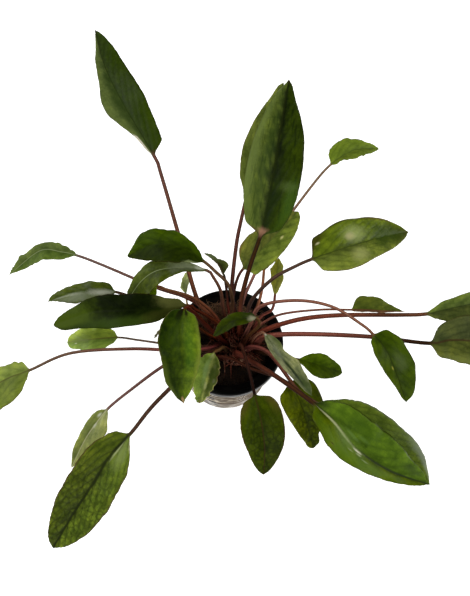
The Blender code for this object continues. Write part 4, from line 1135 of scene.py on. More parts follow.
                Patch(0.04, 0.2, 0.09, 0.3, "#b9bd8c"), Patch(0.6, 0.45, 0.6, 0.5, "#5f8020", 0.5),
                Patch(-0.5, 0.02, 0.9, 0.13, "#1c2a0a", 0.85), Patch(0.3, 0.38, 0.06, 0.03, "#a8b080", 0.4),
                Patch(0.22, 0.44, 0.07, 0.03, "#c8caa0", 0.5),
                Patch(-0.2, 0.33, 0.08, 0.09, "#6c8a44", 0.4),
                Patch(-0.35, 0.4, 0.08, 0.08, "#6c8a44", 0.35),
                Patch(0.35, 0.5, 0.06, 0.04, "#a8b480", 0.35), Patch(0.1, 0.33, 0.3, 0.2, "#6f8a3c", 0.5),
                Patch(-0.03, 0.75, 0.05, 0.3, "#22330a"), Patch(-0.6, 0.35, 0.4, 0.3, "#3a560c", 0.5),
                Patch(0.1, 0.42, 0.07, 0.05, "#e0dec0"), Patch(0.0, 1.0, 0.7, 0.1, "#28340f", 0.7),
                Patch(-0.5, 0.85, 0.3, 0.2, "#33441a", 0.5), Patch(0.75, 0.28, 0.05, 0.025, "#3a2a12"))),
        thick=1.4, fold=(16, 14), wave=0.8, phase=0.6, ragged=0.2),
    LeafForm(
        "leaf_30_front_right_behind", (MIDDLE, 324),
        ((12, -4, 60), (20, -8, 64), (33, -23, 66)),
        ((42, -29, 67), (58, -38, 69), (78, -48, 63), (98, -58, 52)),
        (3.6, 4.8, 9, 12, 12.9, 13.1, 13.1, 12.7, 11.4, 8.8, 5.4, 2.9, 1.1),
        (2.3, 4, 6, 7.5, 8.6, 9, 8.9, 8.3, 7.2, 7.2, 4.3, 1.9, 0.2),
        LeafFinish("#586b1e", "#4a5620", stalk="#6a3a36", stalk_end="#4c3420", veining=0.35, netting=0.2,
            margin="#7d8468", margin_amount=0.6, vein_spacing=7, patches=(
                Patch(-0.95, 0.88, 0.4, 0.3, "#8f9884", 0.7), Patch(-0.3, 0.35, 0.3, 0.14, "#1f2e0c"))),
        thick=1.1, fold=(12, 12), wave=0.8, phase=0.2, ragged=0.3),
    LeafForm(
        "leaf_31_front", (INNER, 300),
        ((6, -5, 64), (8, -12, 73), (12, -25, 80)),
        ((14, -31, 79), (18, -42, 77), (21, -53, 71), (22, -63, 63)),
        (4.6, 7.2, 9, 9.8, 10.2, 9.9, 9.4, 8.4, 6.7, 4.8, 3.1, 1.6, 0.5),
        (3.8, 6.2, 8.2, 9.3, 9.9, 9.8, 9.2, 8.1, 6.8, 5.3, 3.5, 2.2, 1.3),
        LeafFinish("#344102", "#3a4802", stalk="#4a271a", stalk_end="#1a0d08", rib=Rib.BROWN,
            rib_amount=0.6, gloss=0.05, vein="#7c7464", veining=0.15, netting=0.45, quilting=0.4,
            margin="#5e3022", margin_amount=0.6, patches=(
                Patch(-0.9, 0.12, 0.5, 0.2, "#54481c", 0.6), Patch(0.9, 0.12, 0.5, 0.2, "#54481c", 0.6))),
        thick=0.95, fold=(12, 12), phase=0.9),
    LeafForm(
        "leaf_32_over_crown", (INNER, 340),
        ((9, 0, 64), (13, 1, 78)),
        ((11, 2, 87), (6, 0, 90), (0, -2, 89), (-7, -7, 81)),
        (1, 1.6, 2.2, 2.6, 2.9, 3, 2.9, 2.7, 2.2, 1.7, 1.1, 0.5, 0.2),
        (1.1, 1.8, 2.5, 3, 3.3, 3.4, 3.3, 3, 2.5, 1.9, 1.2, 0.6, 0.2),
        LeafFinish("#2a3602", "#2e3a02", stalk="#4e2a1c", stalk_end="#4a3614", gloss=0.05, vein_spacing=4,
            patches=(
                Patch(-0.4, 0.1, 0.9, 0.14, "#b0ae8c", 0.7),)),
        fold=(18, 18), wave=0.4),
    LeafForm(
        "leaf_33_shoot", (OUTER, 128),
        ((-13, 8.5, 54), (-20, 11.5, 60)),
        ((-22, 16, 68), (-23, 20, 70), (-21, 27, 70)),
        (0.5, 0.9, 1.3, 2.1, 1.6, 1.6, 1.9, 1.7, 1.9, 1.3, 0.9, 0.5, 0.2),
        (0.5, 0.9, 1.4, 1.7, 2, 2.1, 2.1, 2, 1.7, 1.4, 0.9, 0.5, 0.2),
        LeafFinish("#c4d286", "#ccd898", stalk="#7a3a2c", stalk_end="#b0a070", rib_amount=0.05,
            core_amount=0.05, vein_spacing=3),
        thick=0.6, fold=(10, 10), wave=0.2),
    LeafForm(
        "leaf_34_left_tucked", (INNER, 140),
        ((-10, 9, 68), (-19, 12.5, 74), (-31, 14, 77)),
        ((-35, 15, 77), (-39, 12, 75), (-44, 9, 72), (-49, 7, 67)),
        (1.9, 2.9, 3.8, 4.4, 4.6, 4.5, 4.3, 3.9, 3.3, 2.6, 1.7, 1, 0.2),
        (2.1, 3.2, 4.3, 5, 5.2, 5.1, 4.8, 4.4, 3.7, 2.9, 1.9, 1.1, 0.2),
        LeafFinish("#7b9608", "#344608", stalk="#66301f", stalk_end="#6a4a30", gloss=0.05,
            vein_spacing=4.5),
        wave=0.5),
)


class Litter(Enum):
    """Small shapes that lie or stand by the hundred on the medium and the crown."""

    FIBRE = "fibre"
    CRUMB = "crumb"
    BRACT = "bract"


def node_group(name: str, inputs: dict[str, str]) -> tuple[NodeTree, AddNode, Any]:
    """Make a geometry tree that takes and gives a geometry.

    Args:
        name: The tree's name.
        inputs: Kinds of its further inputs by name, the last part of Blender's name of the socket.

    Returns:
        The tree, add_node for it, and the sockets that carry its inputs.
    """
    tree = bpy.data.node_groups.new(name, "GeometryNodeTree")
    tree.interface.new_socket("Geometry", in_out="OUTPUT", socket_type="NodeSocketGeometry")
    for key, kind in {"Geometry": "Geometry", **inputs}.items():
        tree.interface.new_socket(key, in_out="INPUT", socket_type="NodeSocket" + kind)
    return tree, partial(add_node, tree), add_node(tree, "NodeGroupInput").node.outputs


def run_group(obj: Object, tree: NodeTree, values: dict[str, Any]) -> None:
    """Run a geometry tree on an object and keep its result as a plain mesh.

    Args:
        obj: The object.
        tree: The tree.
        values: Values of the tree's inputs by name.
    """
    modifier = obj.modifiers.new(tree.name, "NODES")
    modifier.node_group = tree
    for item in tree.interface.items_tree:
        if item.in_out == "INPUT" and item.name in values:
            modifier[item.identifier] = values[item.name]
    apply_modifiers(obj)


@dataclass(frozen=True)
class Scatter:
    """Hundreds of small pieces set on a surface by a node tree, sizes in millimetres."""

    litter: Litter
    per_area: float  # pieces in a square millimetre
    length: float
    width: float
    smallest: float  # sizes of the smallest and the largest, as parts of the usual one
    largest: float
    lean: float  # degrees, the most that a piece leans from the surface's normal
    sink: float = 0.0  # how far its foot is set below the surface

    CRUMB_SHAPE = (1.0, 0.7, 0.6)  # what a ball and a cone are squashed by
    BRACT_SHAPE = (1.0, 0.35, 1.0)
    BRACT_TIP = 0.05

    def shape(self, add: AddNode, given: Any) -> NodeSocket:
        """Add the nodes that make the repeated shape.

        Args:
            add: Adds a node to the tree.
            given: The tree's inputs.

        Returns:
            The shape, at the origin of the point that it is set on.
        """
        if self.litter is Litter.FIBRE:
            bow = add("GeometryNodeCurveQuadraticBezier", {
                "Resolution": 4, "Start": (0.0, 0.0, 0.0), "Middle": (0.5, 0.3, 0.5),
                "End": (1.0, 0.0, 0.05)})
            bow = add(TRANSFORM, {"Geometry": bow, "Scale": given["Length"]})
            ring = add("GeometryNodeCurvePrimitiveCircle", {"Resolution": 3, "Radius": given["Width"]})
            return add("GeometryNodeCurveToMesh", {"Curve": bow, "Profile Curve": ring, "Fill Caps": True})
        if self.litter is Litter.CRUMB:
            ball = add("GeometryNodeMeshIcoSphere", {"Radius": given["Width"], "Subdivisions": 1})
            return add(TRANSFORM, {"Geometry": ball, "Scale": self.CRUMB_SHAPE})
        cone = add("GeometryNodeMeshCone", {
            "Vertices": 7, "Side Segments": 3, "Radius Top": self.BRACT_TIP * MM,
            "Radius Bottom": given["Width"], "Depth": given["Length"]})
        return add(TRANSFORM, {"Geometry": cone, "Scale": self.BRACT_SHAPE})

    def tree(self) -> NodeTree:
        """Build the tree that sets the pieces on a surface, turns them at random and makes them real."""
        tree, add, given = node_group(self.litter.value + "_scatter", {
            "Per square metre": "Float", "Length": "Float", "Width": "Float", "Smallest": "Float",
            "Largest": "Float", "Lean": "Float", "Sink": "Float", "Finish": "Material"})
        points = add("GeometryNodeDistributePointsOnFaces", {
            "Mesh": given["Geometry"], "Density": given["Per square metre"], "Seed": SEED}).node.outputs
        most = add("ShaderNodeCombineXYZ", {"X": given["Lean"], "Y": given["Lean"], "Z": math.tau})
        least = add(VECTOR, {0: most, 1: (-1.0, -1.0, 0.0)}, operation="MULTIPLY")
        turn = add(RANDOM, {0: least, 1: most, 8: SEED}, data_type="FLOAT_VECTOR")
        turn = add("FunctionNodeEulerToRotation", {0: turn})
        turn = add("FunctionNodeRotateRotation", {0: points["Rotation"], 1: turn}, rotation_space="LOCAL")
        size = add(RANDOM, {2: given["Smallest"], 3: given["Largest"], 8: SEED + 1}, 1, data_type="FLOAT")
        depth = add(MATH, {0: given["Sink"], 1: -1.0}, operation="MULTIPLY")
        drop = add("ShaderNodeCombineXYZ", {"Z": depth})
        shape = add(TRANSFORM, {"Geometry": self.shape(add, given), "Translation": drop})
        strewn = add("GeometryNodeInstanceOnPoints", {
            "Points": points["Points"], "Instance": shape, "Rotation": turn, "Scale": size})
        real = add("GeometryNodeRealizeInstances", {"Geometry": strewn})
        dressed = add("GeometryNodeSetMaterial", {"Geometry": real, "Material": given["Finish"]})
        add("NodeGroupOutput", {0: dressed})
        return tree

    def strew(self, name: str, ground: Mesh, material: Material) -> Object:
        """Set the pieces on a surface.

        Args:
            name: Name of the piece that holds them all.
            ground: The surface.
            material: Their finish.

        Returns:
            One object that holds every piece.
        """
        obj = new_object(name, ground.copy(), None)
        run_group(obj, self.tree(), {
            "Per square metre": self.per_area / MM ** 2, "Length": self.length * MM,
            "Width": self.width * MM, "Smallest": self.smallest, "Largest": self.largest,
            "Lean": math.radians(self.lean), "Sink": self.sink * MM, "Finish": material})
        return obj


@dataclass(frozen=True)
class MouldedBlack:
    """Injection-moulded black polypropylene: satin, slightly dusty, with a fine pebbled skin."""

    base: str = "#070707"
    dust: str = "#2c2925"
    dusting: float = 0.3  # how far the dust's colour shows where it lies thickest
    pebble: float = 0.625  # mm across a grain of the skin, and its height
    pebble_height: float = 0.04
    drift: float = 4.5455  # mm across a drift of dust
    roughness: float = 0.3
    dust_roughness: float = 0.8  # what the dust adds to it, for its share
    ior: float = 1.49
    gloss: float = 0.08

    def material(self) -> Material:
        """Build the plastic's material."""
        made, add = new_material("moulded_black_polypropylene")
        place = add(PLACES, out="Object")
        pebbles = add(NOISE, {"Vector": place, "Scale": fineness(self.pebble), "Detail": 2.0}, "Fac")
        drifts = add(NOISE, {"Vector": place, "Scale": fineness(self.drift), "Detail": 6.0}, "Fac")
        dusty = add(RANGE, {"Value": drifts, "From Min": 0.52, "From Max": 0.8, "To Max": self.dusting})
        shade = add(MIX, {"Factor": dusty, 6: linear(self.base), 7: linear(self.dust)}, 2, data_type="RGBA")
        rough = add(MATH, {0: dusty, 1: self.dust_roughness, 2: self.roughness}, operation="MULTIPLY_ADD")
        normal = add(
            BUMP, {"Height": pebbles, "Distance": self.pebble_height * MM, "Strength": 0.8}, "Normal")
        shader = add(SURFACE, {
            "Base Color": shade, "Roughness": rough, "Normal": normal, "IOR": self.ior,
            "Specular IOR Level": self.gloss}, "BSDF")
        add(END, {"Surface": shader})
        return made


@dataclass(frozen=True)
class ClearPlastic:
    """Thin thermoformed clear polystyrene: smooth, see-through, clouded grey-brown by a film of algae."""

    clean: str = "#f2efe6"
    bloom: str = "#8c775b"
    film: str = "#624f3a"
    stain: str = "#1e110a"
    # the colour of the painted glints that the rings catch near the wet place
    painted_glint: str = "#dccbae"
    dark_place: Point = (-6.0, -20.3, 13.0)  # mm, where the wet medium touches the wall
    stain_run: Point = (1.4, 1.4, 0.4)  # the stain's narrowness, as it runs down from there
    ring_spacing: float = 4.5  # mm, of the rings whose crests carry painted glints near that place
    glint_near: float = 12.0  # mm from that place where the painted glints are strongest, and where they end
    glint_far: float = 24.0
    flow: float = 6.25  # mm across the film's runs, which are drawn out down the wall
    flow_draw: float = 0.3
    spread: float = 5.0  # mm across the blots of the stain and of the painted glints
    film_edge: float = 12.0  # mm, how far back of the axis the film reaches where its edge bulges most
    film_fade: float = 6.0  # mm, over which it thins out to nothing
    film_lean: float = 0.3  # mm that its edge comes forward for each millimetre up the wall
    film_bulge: float = 26.0  # mm that the blots push its edge about
    roughness: float = 0.06
    film_roughness: tuple[float, float] = (0.16, 0.46)  # what thin and thick film add to it
    clearness: float = 0.97  # share of the light that clean wall lets through
    film_clearness: tuple[float, float] = (-0.37, -0.72)  # what thin and thick film add to it
    stain_clearness: float = -0.5
    crust: float = 0.1  # mm, height of the film's crust
    ior: float = 1.57
    gloss: float = 0.15

    def material(self) -> Material:
        """Build the cup's material."""
        made, add = new_material("thermoformed_clear_polystyrene")
        place = add(PLACES, out="Object")
        _, y, z = add(SPLIT, {0: place}).node.outputs
        drawn = add("ShaderNodeMapping", {"Vector": place, "Scale": (1.0, 1.0, self.flow_draw)})
        flow = add(NOISE, {"Vector": drawn, "Scale": fineness(self.flow), "Detail": 2.0}, "Fac")
        spread = add(NOISE, {"Vector": place, "Scale": fineness(self.spread), "Detail": 3.0}, "Fac")
        filmed = add(RANGE, {"Value": flow, "From Min": 0.38, "From Max": 0.56})

        # the film lies on the side that faces the light, and its edge is uneven
        reach = add(MATH, {0: z, 1: self.film_lean, 2: y}, operation="MULTIPLY_ADD")
        reach = add(MATH, {0: spread, 1: self.film_bulge * MM, 2: reach}, operation="MULTIPLY_ADD")
        cloudy = add(RANGE, {"Value": reach, "From Min": (self.film_edge + self.film_fade) * MM,
                             "From Max": self.film_edge * MM})

        # water from the wet place has run down and stained the wall; near it, painted glints of cream lie
        # along the rings
        from_wet = add(VECTOR, {0: place, 1: [part * MM for part in self.dark_place]}, operation="SUBTRACT")
        off_wet = add(VECTOR, {0: from_wet}, "Value", operation="LENGTH")
        run_down = add(VECTOR, {0: from_wet, 1: self.stain_run}, operation="MULTIPLY")
        off_stain = add(VECTOR, {0: run_down}, "Value", operation="LENGTH")
        darkened = add(MATH, {0: off_stain, 1: -0.07 / MM, 2: spread}, operation="MULTIPLY_ADD")
        darkened = add(RANGE, {"Value": darkened, "From Min": 0.0, "From Max": 0.16, "To Max": 0.93})
        ring = add(MATH, {0: z, 1: fineness(self.ring_spacing)}, operation="MULTIPLY")
        off_ring = add(MATH, {0: ring, 1: 0.5}, operation="PINGPONG")
        glinting = add(MATH, {0: spread, 1: -0.8, 2: off_ring}, operation="MULTIPLY_ADD")
        glinting = add(RANGE, {"Value": glinting, "From Min": -0.3, "From Max": -0.4, "To Max": 0.9})
        near = add(RANGE, {
            "Value": off_wet, "From Min": self.glint_far * MM, "From Max": self.glint_near * MM})
        glinting = add(MATH, {0: glinting, 1: near}, operation="MULTIPLY")

        shade = add(MIX, {"Factor": filmed, 6: linear(self.bloom), 7: linear(self.film)}, 2, data_type="RGBA")
        shade = add(MIX, {"Factor": cloudy, 6: linear(self.clean), 7: shade}, 2, data_type="RGBA")
        # over the film go the stain and the painted glints
        for share, colour in ((darkened, self.stain), (glinting, self.painted_glint)):
            shade = add(MIX, {"Factor": share, 6: shade, 7: linear(colour)}, 2, data_type="RGBA")
        (thin_rough, thick_rough), (thin_clear, thick_clear) = self.film_roughness, self.film_clearness
        rough = add(RANGE, {"Value": filmed, "To Min": thin_rough, "To Max": thick_rough})
        rough = add(MATH, {0: rough, 1: cloudy, 2: self.roughness}, operation="MULTIPLY_ADD")
        through = add(RANGE, {"Value": filmed, "To Min": thin_clear, "To Max": thick_clear})
        through = add(MATH, {0: through, 1: cloudy, 2: self.clearness}, operation="MULTIPLY_ADD")
        through = add(MATH, {0: darkened, 1: self.stain_clearness, 2: through}, operation="MULTIPLY_ADD",
                      use_clamp=True)
        crust = add(MATH, {0: flow, 1: cloudy}, operation="MULTIPLY")
        normal = add(BUMP, {"Height": crust, "Distance": self.crust * MM, "Strength": 0.3}, "Normal")
        shader = add(SURFACE, {
            "Base Color": shade, "Roughness": rough, "Normal": normal, "IOR": self.ior,
            "Transmission Weight": through, "Specular IOR Level": self.gloss}, "BSDF")
        add(END, {"Surface": shader})
        return made


@dataclass(frozen=True)
class MineralWool:
    """Wet rock wool with some peat on it: spun mineral fibre, brown where it dries and black where soaked,
    with painted shade darkening its front.
    """

    dark: str = "#060403"
    brown: str = "#6e4c36"
    tuft: str = "#a88464"
    darkened: str = "#453c30"  # what the front is multiplied by: painted shade of the plant above it
    shade_line: float = 10.0  # mm behind the axis, where the painted shade ends
    lump: float = 2.857  # mm across its lumps and its threads, and their height
    thread: float = 0.5
    height: float = 0.6
    ior: float = 1.5
    gloss: float = 0.2

    def material(self, name: str, lift: float = 0.0) -> Material:
        """Build the medium's material.

        Args:
            name: The material's name.
            lift: How much paler than the plug it is, from 0 to 1.

        Returns:
            The finished material.
        """
        made, add = new_material(name)
        place = add(PLACES, out="Object")
        lumps = add(NOISE, {"Vector": place, "Scale": fineness(self.lump), "Detail": 8.0}, "Fac")
        threads = add(NOISE, {
            "Vector": place, "Scale": fineness(self.thread), "Detail": 3.0, "Distortion": 1.5}, "Fac")
        y = add(SPLIT, {0: place}, 1)
        low, high = 0.3 * lift, 0.2 * lift
        damp = add(RANGE, {"Value": lumps, "From Min": 0.4 - low, "From Max": 0.62 - low})
        paler = add(RANGE, {"Value": threads, "From Min": 0.52 - low, "From Max": 0.72 - high})
        # painted shade: the front, under the plant, is multiplied darker
        dark_place = add(RANGE, {"Value": y, "From Min": self.shade_line * MM, "From Max": 0.0, "To Max": 0.95})
        shade = linear(self.dark)
        for share, colour, kind in (
                (damp, self.brown, "MIX"), (paler, self.tuft, "MIX"), (dark_place, self.darkened, "MULTIPLY")):
            shade = add(MIX, {"Factor": share, 6: shade, 7: linear(colour)}, 2, data_type="RGBA",
                        blend_type=kind)
        rough = add(RANGE, {"Value": damp, "To Min": 0.7, "To Max": 0.95})
        height = add(MATH, {0: threads, 1: 0.5, 2: lumps}, operation="MULTIPLY_ADD")
        normal = add(BUMP, {"Height": height, "Distance": self.height * MM, "Strength": 1.0}, "Normal")
        shader = add(SURFACE, {
            "Base Color": shade, "Roughness": rough, "Normal": normal, "IOR": self.ior,
            "Specular IOR Level": self.gloss}, "BSDF")
        add(END, {"Surface": shader})
        return made


@dataclass(frozen=True)
class StockSkin:
    """The plant's stock and its dry leaf sheaths: corky, red-brown, papery where a sheath has split."""

    dark: str = "#32150d"
    red: str = "#824434"
    papery: str = "#ac8068"
    patch: float = 2.0  # mm across a papery patch
    streak: float = 1 / 3  # mm across a fibre, which is drawn out up the stock
    streak_draw: float = 0.2
    height: float = 0.3  # mm, of the bark's relief
    ior: float = 1.45
    gloss: float = 0.25

    def material(self, name: str, dryness: float) -> Material:
        """Build the stock's material.

        Args:
            name: The material's name.
            dryness: Share of it that has turned papery.

        Returns:
            The finished material.
        """
        made, add = new_material(name)
        place = add(PLACES, out="Object")
        patches = add(NOISE, {"Vector": place, "Scale": fineness(self.patch), "Detail": 5.0}, "Fac")
        drawn = add("ShaderNodeMapping", {"Vector": place, "Scale": (1.0, 1.0, self.streak_draw)})
        streaks = add(NOISE, {"Vector": drawn, "Scale": fineness(self.streak), "Detail": 3.0}, "Fac")
        ripe = add(RANGE, {"Value": streaks, "From Min": 0.35, "From Max": 0.65})
        spread = 0.25 * dryness
        dry = add(RANGE, {"Value": patches, "From Min": 0.62 - spread, "From Max": 0.72 - spread})
        shade = linear(self.dark)
        for share, colour in ((ripe, self.red), (dry, self.papery)):
            shade = add(MIX, {"Factor": share, 6: shade, 7: linear(colour)}, 2, data_type="RGBA")
        height = add(MATH, {0: streaks, 1: 0.4, 2: patches}, operation="MULTIPLY_ADD")
        rough = add(RANGE, {"Value": dry, "To Min": 0.45, "To Max": 0.75})
        normal = add(BUMP, {"Height": height, "Distance": self.height * MM, "Strength": 0.9}, "Normal")
        shader = add(SURFACE, {
            "Base Color": shade, "Roughness": rough, "Normal": normal, "IOR": self.ior,
            "Specular IOR Level": self.gloss}, "BSDF")
        add(END, {"Surface": shader})
        return made


def part_of(mesh: Mesh, name: str, wanted: Callable[[Vector], bool]) -> Mesh:
    """Copy some faces of a mesh.

    Args:
        mesh: The mesh.
        name: The copy's name.
        wanted: Whether to keep a face, from its middle in millimetres.

    Returns:
        The open copy.
    """
    shape = bmesh.new()
    shape.from_mesh(mesh)
    unwanted = [face for face in shape.faces if not wanted(face.calc_center_median() / MM)]
    bmesh.ops.delete(shape, geom=unwanted, context="FACES")
    copy = bpy.data.meshes.new(name)
    shape.to_mesh(copy)
    shape.free()
    return copy


def turned_mesh(name: str, profile: Sequence[tuple[float, float]], joined: bool = False) -> Mesh:
    """Turn a profile about the Z axis.

    Args:
        name: The mesh's name.
        profile: Radius and height of each point in millimetres.
        joined: Whether the profile closes on itself, as a ring's does.

    Returns:
        The closed mesh.
    """
    angles = np.linspace(0.0, math.tau, ROUND_STEPS, endpoint=False)
    rings = [
        np.stack([radius * np.cos(angles), radius * np.sin(angles), np.full(ROUND_STEPS, height)], 1)
        for radius, height in profile]
    mesh = loft(name, rings, {}, joined)
    mesh.set_sharp_from_angle(angle=math.radians(20))
    return mesh


def soften(obj: Object, width: float, segments: int = 2) -> None:
    """Round an object's edges with a Bevel modifier and apply it.

    Args:
        obj: The object.
        width: The bevel's width in millimetres.
        segments: Faces across it.
    """
    bevel = obj.modifiers.new("Rounding", "BEVEL")
    bevel.width = width * MM
    bevel.segments = segments
    bevel.limit_method = "ANGLE"
    bevel.angle_limit = math.radians(35)
    bevel.use_clamp_overlap = True
    apply_modifiers(obj)
    obj.data.set_sharp_from_angle(angle=math.radians(20))


@dataclass(frozen=True)
class ClearCup:
    """The clear cup that the pot stands in, with a bead round its lip and stiffening rings down its wall."""

    height: float = 45.7
    base_radius: float = 20.5
    top_radius: float = 23.8
    wall: float = 0.9
    floor: float = 1.2
    foot_round: float = 1.2
    lip: float = 0.7
    rings: tuple[float, ...] = (13.5, 18.0, 22.5, 27.0, 31.5, 36.0, 40.5)
    ring_size: float = 0.3

    def profile(self) -> list[tuple[float, float]]:
        """List the cup's outline, from the middle of its foot round the lip to the middle of its floor."""
        slope = (self.top_radius - self.lip - self.base_radius) / self.height
        outer = [(self.base_radius - self.foot_round, 0.0), (self.base_radius - 0.35, 0.35),
                 (self.base_radius, self.foot_round)]
        for ring in self.rings:
            radius = self.base_radius + slope * ring
            outer += [(radius, ring - 0.9), (radius + self.ring_size, ring - 0.4),
                      (radius + self.ring_size, ring + 0.4), (radius, ring + 0.9)]
        top = self.base_radius + slope * self.height
        outer += [(top, self.height - 1.6), (self.top_radius - 0.1, self.height - 1.2),
                  (self.top_radius, self.height - 0.6), (self.top_radius - 0.2, self.height - 0.1),
                  (self.top_radius - 0.6, self.height)]
        inner = [(top - self.wall, self.height - 0.5), (self.base_radius - self.wall, self.floor + 0.8),
                 (self.base_radius - self.wall - 0.8, self.floor)]
        return [*outer, *inner]

    def build(self) -> None:
        """Turn the cup and dress it."""
        cup = new_object("cup_body", turned_mesh("cup_body", self.profile()), ClearPlastic().material())
        finish_piece(cup, Slot.CLEAR, "clear_cup")


@dataclass(frozen=True)
class NetPot:
    """The black basket: a turned rim, and a slotted wall and floor repeated by a node tree."""

    rim_radius: float = 26.0
    rim_top: float = 50.0
    rim_drop: float = 4.0
    mouth_radius: float = 23.0
    mouth_depth: float = 1.4
    top_radius: float = 21.8
    base_radius: float = 17.0
    wall: float = 1.1
    bottom: float = 1.5
    sectors: int = 5  # each holds two columns of wall slots and one floor slot
    slot_width: float = 3.2
    slot_rows: tuple[tuple[float, float], ...] = ((9.0, 24.0), (28.0, 42.0))
    floor_slot: tuple[float, float] = (5.5, 14.5)  # distances of its ends from the axis
    weld: float = 0.02
    rim_softness: float = 0.18  # widths of the rounding along edges
    wall_softness: float = 0.2

    TURN_STEP = 0.05  # radians, about, from one point of a sector to the next

    def rim_profile(self) -> list[tuple[float, float]]:
        """List the rim's section, a rounded flange with a band round it and a raised bead at the mouth."""
        low = self.rim_top - self.rim_drop
        return [
            (self.top_radius - self.wall, low), (self.top_radius, low), (self.rim_radius - 1.1, low + 1.9),
            (self.rim_radius - 1.1, low), (self.rim_radius, low), (self.rim_radius, self.rim_top - 0.8),
            (self.rim_radius - 0.25, self.rim_top - 0.2), (self.rim_radius - 0.8, self.rim_top),
            (self.rim_radius - 1.9, self.rim_top), (self.rim_radius - 2.2, self.rim_top - 0.35),
            (self.mouth_radius + 0.5, self.rim_top - 0.35), (self.mouth_radius, self.rim_top - 0.6),
            (self.top_radius - self.wall, self.rim_top - self.mouth_depth - 0.6),
        ]

    def sector(self) -> Mesh:
        """Lay the outer skin of one sector of the basket, with its slots left open.

        Returns:
            An open sheet from the rim down the wall and in to the axis.
        """
        span = math.tau / self.sectors
        half = math.asin(self.slot_width / (self.top_radius + self.base_radius))
        corners = sorted({-span / 4, -half, half, span / 2 - half, span / 2 + half, 3 * span / 4})
        angles = []
        for low, high in zip(corners, corners[1:]):
            parts = max(1, round((high - low) / self.TURN_STEP))
            angles += [low + (high - low) * k / parts for k in range(parts)]
        angles.append(corners[-1])
        levels = [self.rim_top - self.rim_drop + 0.4]
        for low, high in reversed(self.slot_rows):
            levels += [high, (low + high) / 2, low]
        inner, outer = self.floor_slot
        rows = [(self.wall_radius(z), z) for z in levels]
        rows += [(self.base_radius + 0.1, self.bottom + 1.2)]
        rows += [(radius, self.bottom) for radius in (
            self.base_radius - 0.8, outer, (inner + outer) / 2, inner, 2.0)]
        shape = bmesh.new()
        grid = []
        for radius, z in rows:
            turns = list(angles)
            if z == self.bottom and inner <= radius <= outer:
                # a floor slot keeps its width towards the axis, where the same angle spans less
                straight = math.asin(self.slot_width / 2 / radius)
                for edge, moved in ((-half, -straight), (half, straight)):
                    turns[angles.index(span / 2 + edge)] = span / 2 + moved
            grid.append([
                shape.verts.new(Vector((radius * math.cos(turn), radius * math.sin(turn), z)) * MM)
                for turn in turns])
        centre = shape.verts.new(Vector((0.0, 0.0, self.bottom)) * MM)
        for j, (upper, lower) in enumerate(zip(rows, rows[1:])):
            height = (upper[1] + lower[1]) / 2
            for i, (a, b) in enumerate(zip(angles, angles[1:])):
                here = (a + b) / 2
                in_wall_column = abs(here) < half or abs(here - span / 2) < half
                in_row = any(low < height < high for low, high in self.slot_rows)
                in_floor = height == self.bottom and inner < (upper[0] + lower[0]) / 2 < outer
                if (in_wall_column and in_row) or (in_floor and abs(here - span / 2) < half):
                    continue
                shape.faces.new((grid[j][i], grid[j + 1][i], grid[j + 1][i + 1], grid[j][i + 1]))
        for a, b in zip(grid[-1], grid[-1][1:]):
            shape.faces.new((a, centre, b))
        mesh = bpy.data.meshes.new("basket_sector")
        shape.to_mesh(mesh)
        shape.free()
        return mesh

    def wall_radius(self, height: float) -> float:
        """Give the outer radius of the tapered wall at a height."""
        share = (height - self.bottom) / (self.rim_top - self.rim_drop - self.bottom)
        return self.base_radius + (self.top_radius - self.base_radius) * share

    def turning_tree(self) -> NodeTree:
        """Build the tree that repeats a sector round the axis and welds the copies."""
        tree, add, given = node_group("sectors_round_axis", {
            "Sectors": "Int", "Weld": "Float", "Finish": "Material"})
        line = add("GeometryNodeMeshLine", {"Count": given["Sectors"], "Offset": (0.0, 0.0, 0.0)})
        index = add("GeometryNodeInputIndex")
        step = add(MATH, {0: math.tau, 1: given["Sectors"]}, operation="DIVIDE")
        angle = add(MATH, {0: index, 1: step}, operation="MULTIPLY")
        turn = add("FunctionNodeEulerToRotation", {0: add("ShaderNodeCombineXYZ", {"Z": angle})})
        copies = add("GeometryNodeInstanceOnPoints", {
            "Points": line, "Instance": given["Geometry"], "Rotation": turn})
        real = add("GeometryNodeRealizeInstances", {"Geometry": copies})
        welded = add("GeometryNodeMergeByDistance", {"Geometry": real, "Distance": given["Weld"]})
        dressed = add("GeometryNodeSetMaterial", {"Geometry": welded, "Material": given["Finish"]})
        add("NodeGroupOutput", {0: dressed})
        return tree

    def build(self) -> None:
        """Turn the rim, repeat the sectors, give the sheet its thickness and dress both."""
        plastic = MouldedBlack().material()
        rim = new_object("pot_rim", turned_mesh("pot_rim", self.rim_profile(), True), plastic)
        soften(rim, self.rim_softness)
        finish_piece(rim, Slot.BLACK, "net_pot")
        basket = new_object("pot_basket", self.sector(), None)
        run_group(basket, self.turning_tree(), {
            "Sectors": self.sectors, "Weld": self.weld * MM, "Finish": plastic})
        shape = bmesh.new()
        shape.from_mesh(basket.data)
        bmesh.ops.recalc_face_normals(shape, faces=shape.faces)
        middle = Vector((0.0, 0.0, self.rim_top / 2)) * MM
        if sum(face.normal.dot(face.calc_center_median() - middle) for face in shape.faces) < 0.0:
            bmesh.ops.reverse_faces(shape, faces=shape.faces)
        shape.to_mesh(basket.data)
        shape.free()
        thickness = basket.modifiers.new("Wall", "SOLIDIFY")
        thickness.thickness = self.wall * MM
        thickness.offset = -1.0
        apply_modifiers(basket)
        soften(basket, self.wall_softness, 1)
        finish_piece(basket, Slot.BLACK, "net_pot")


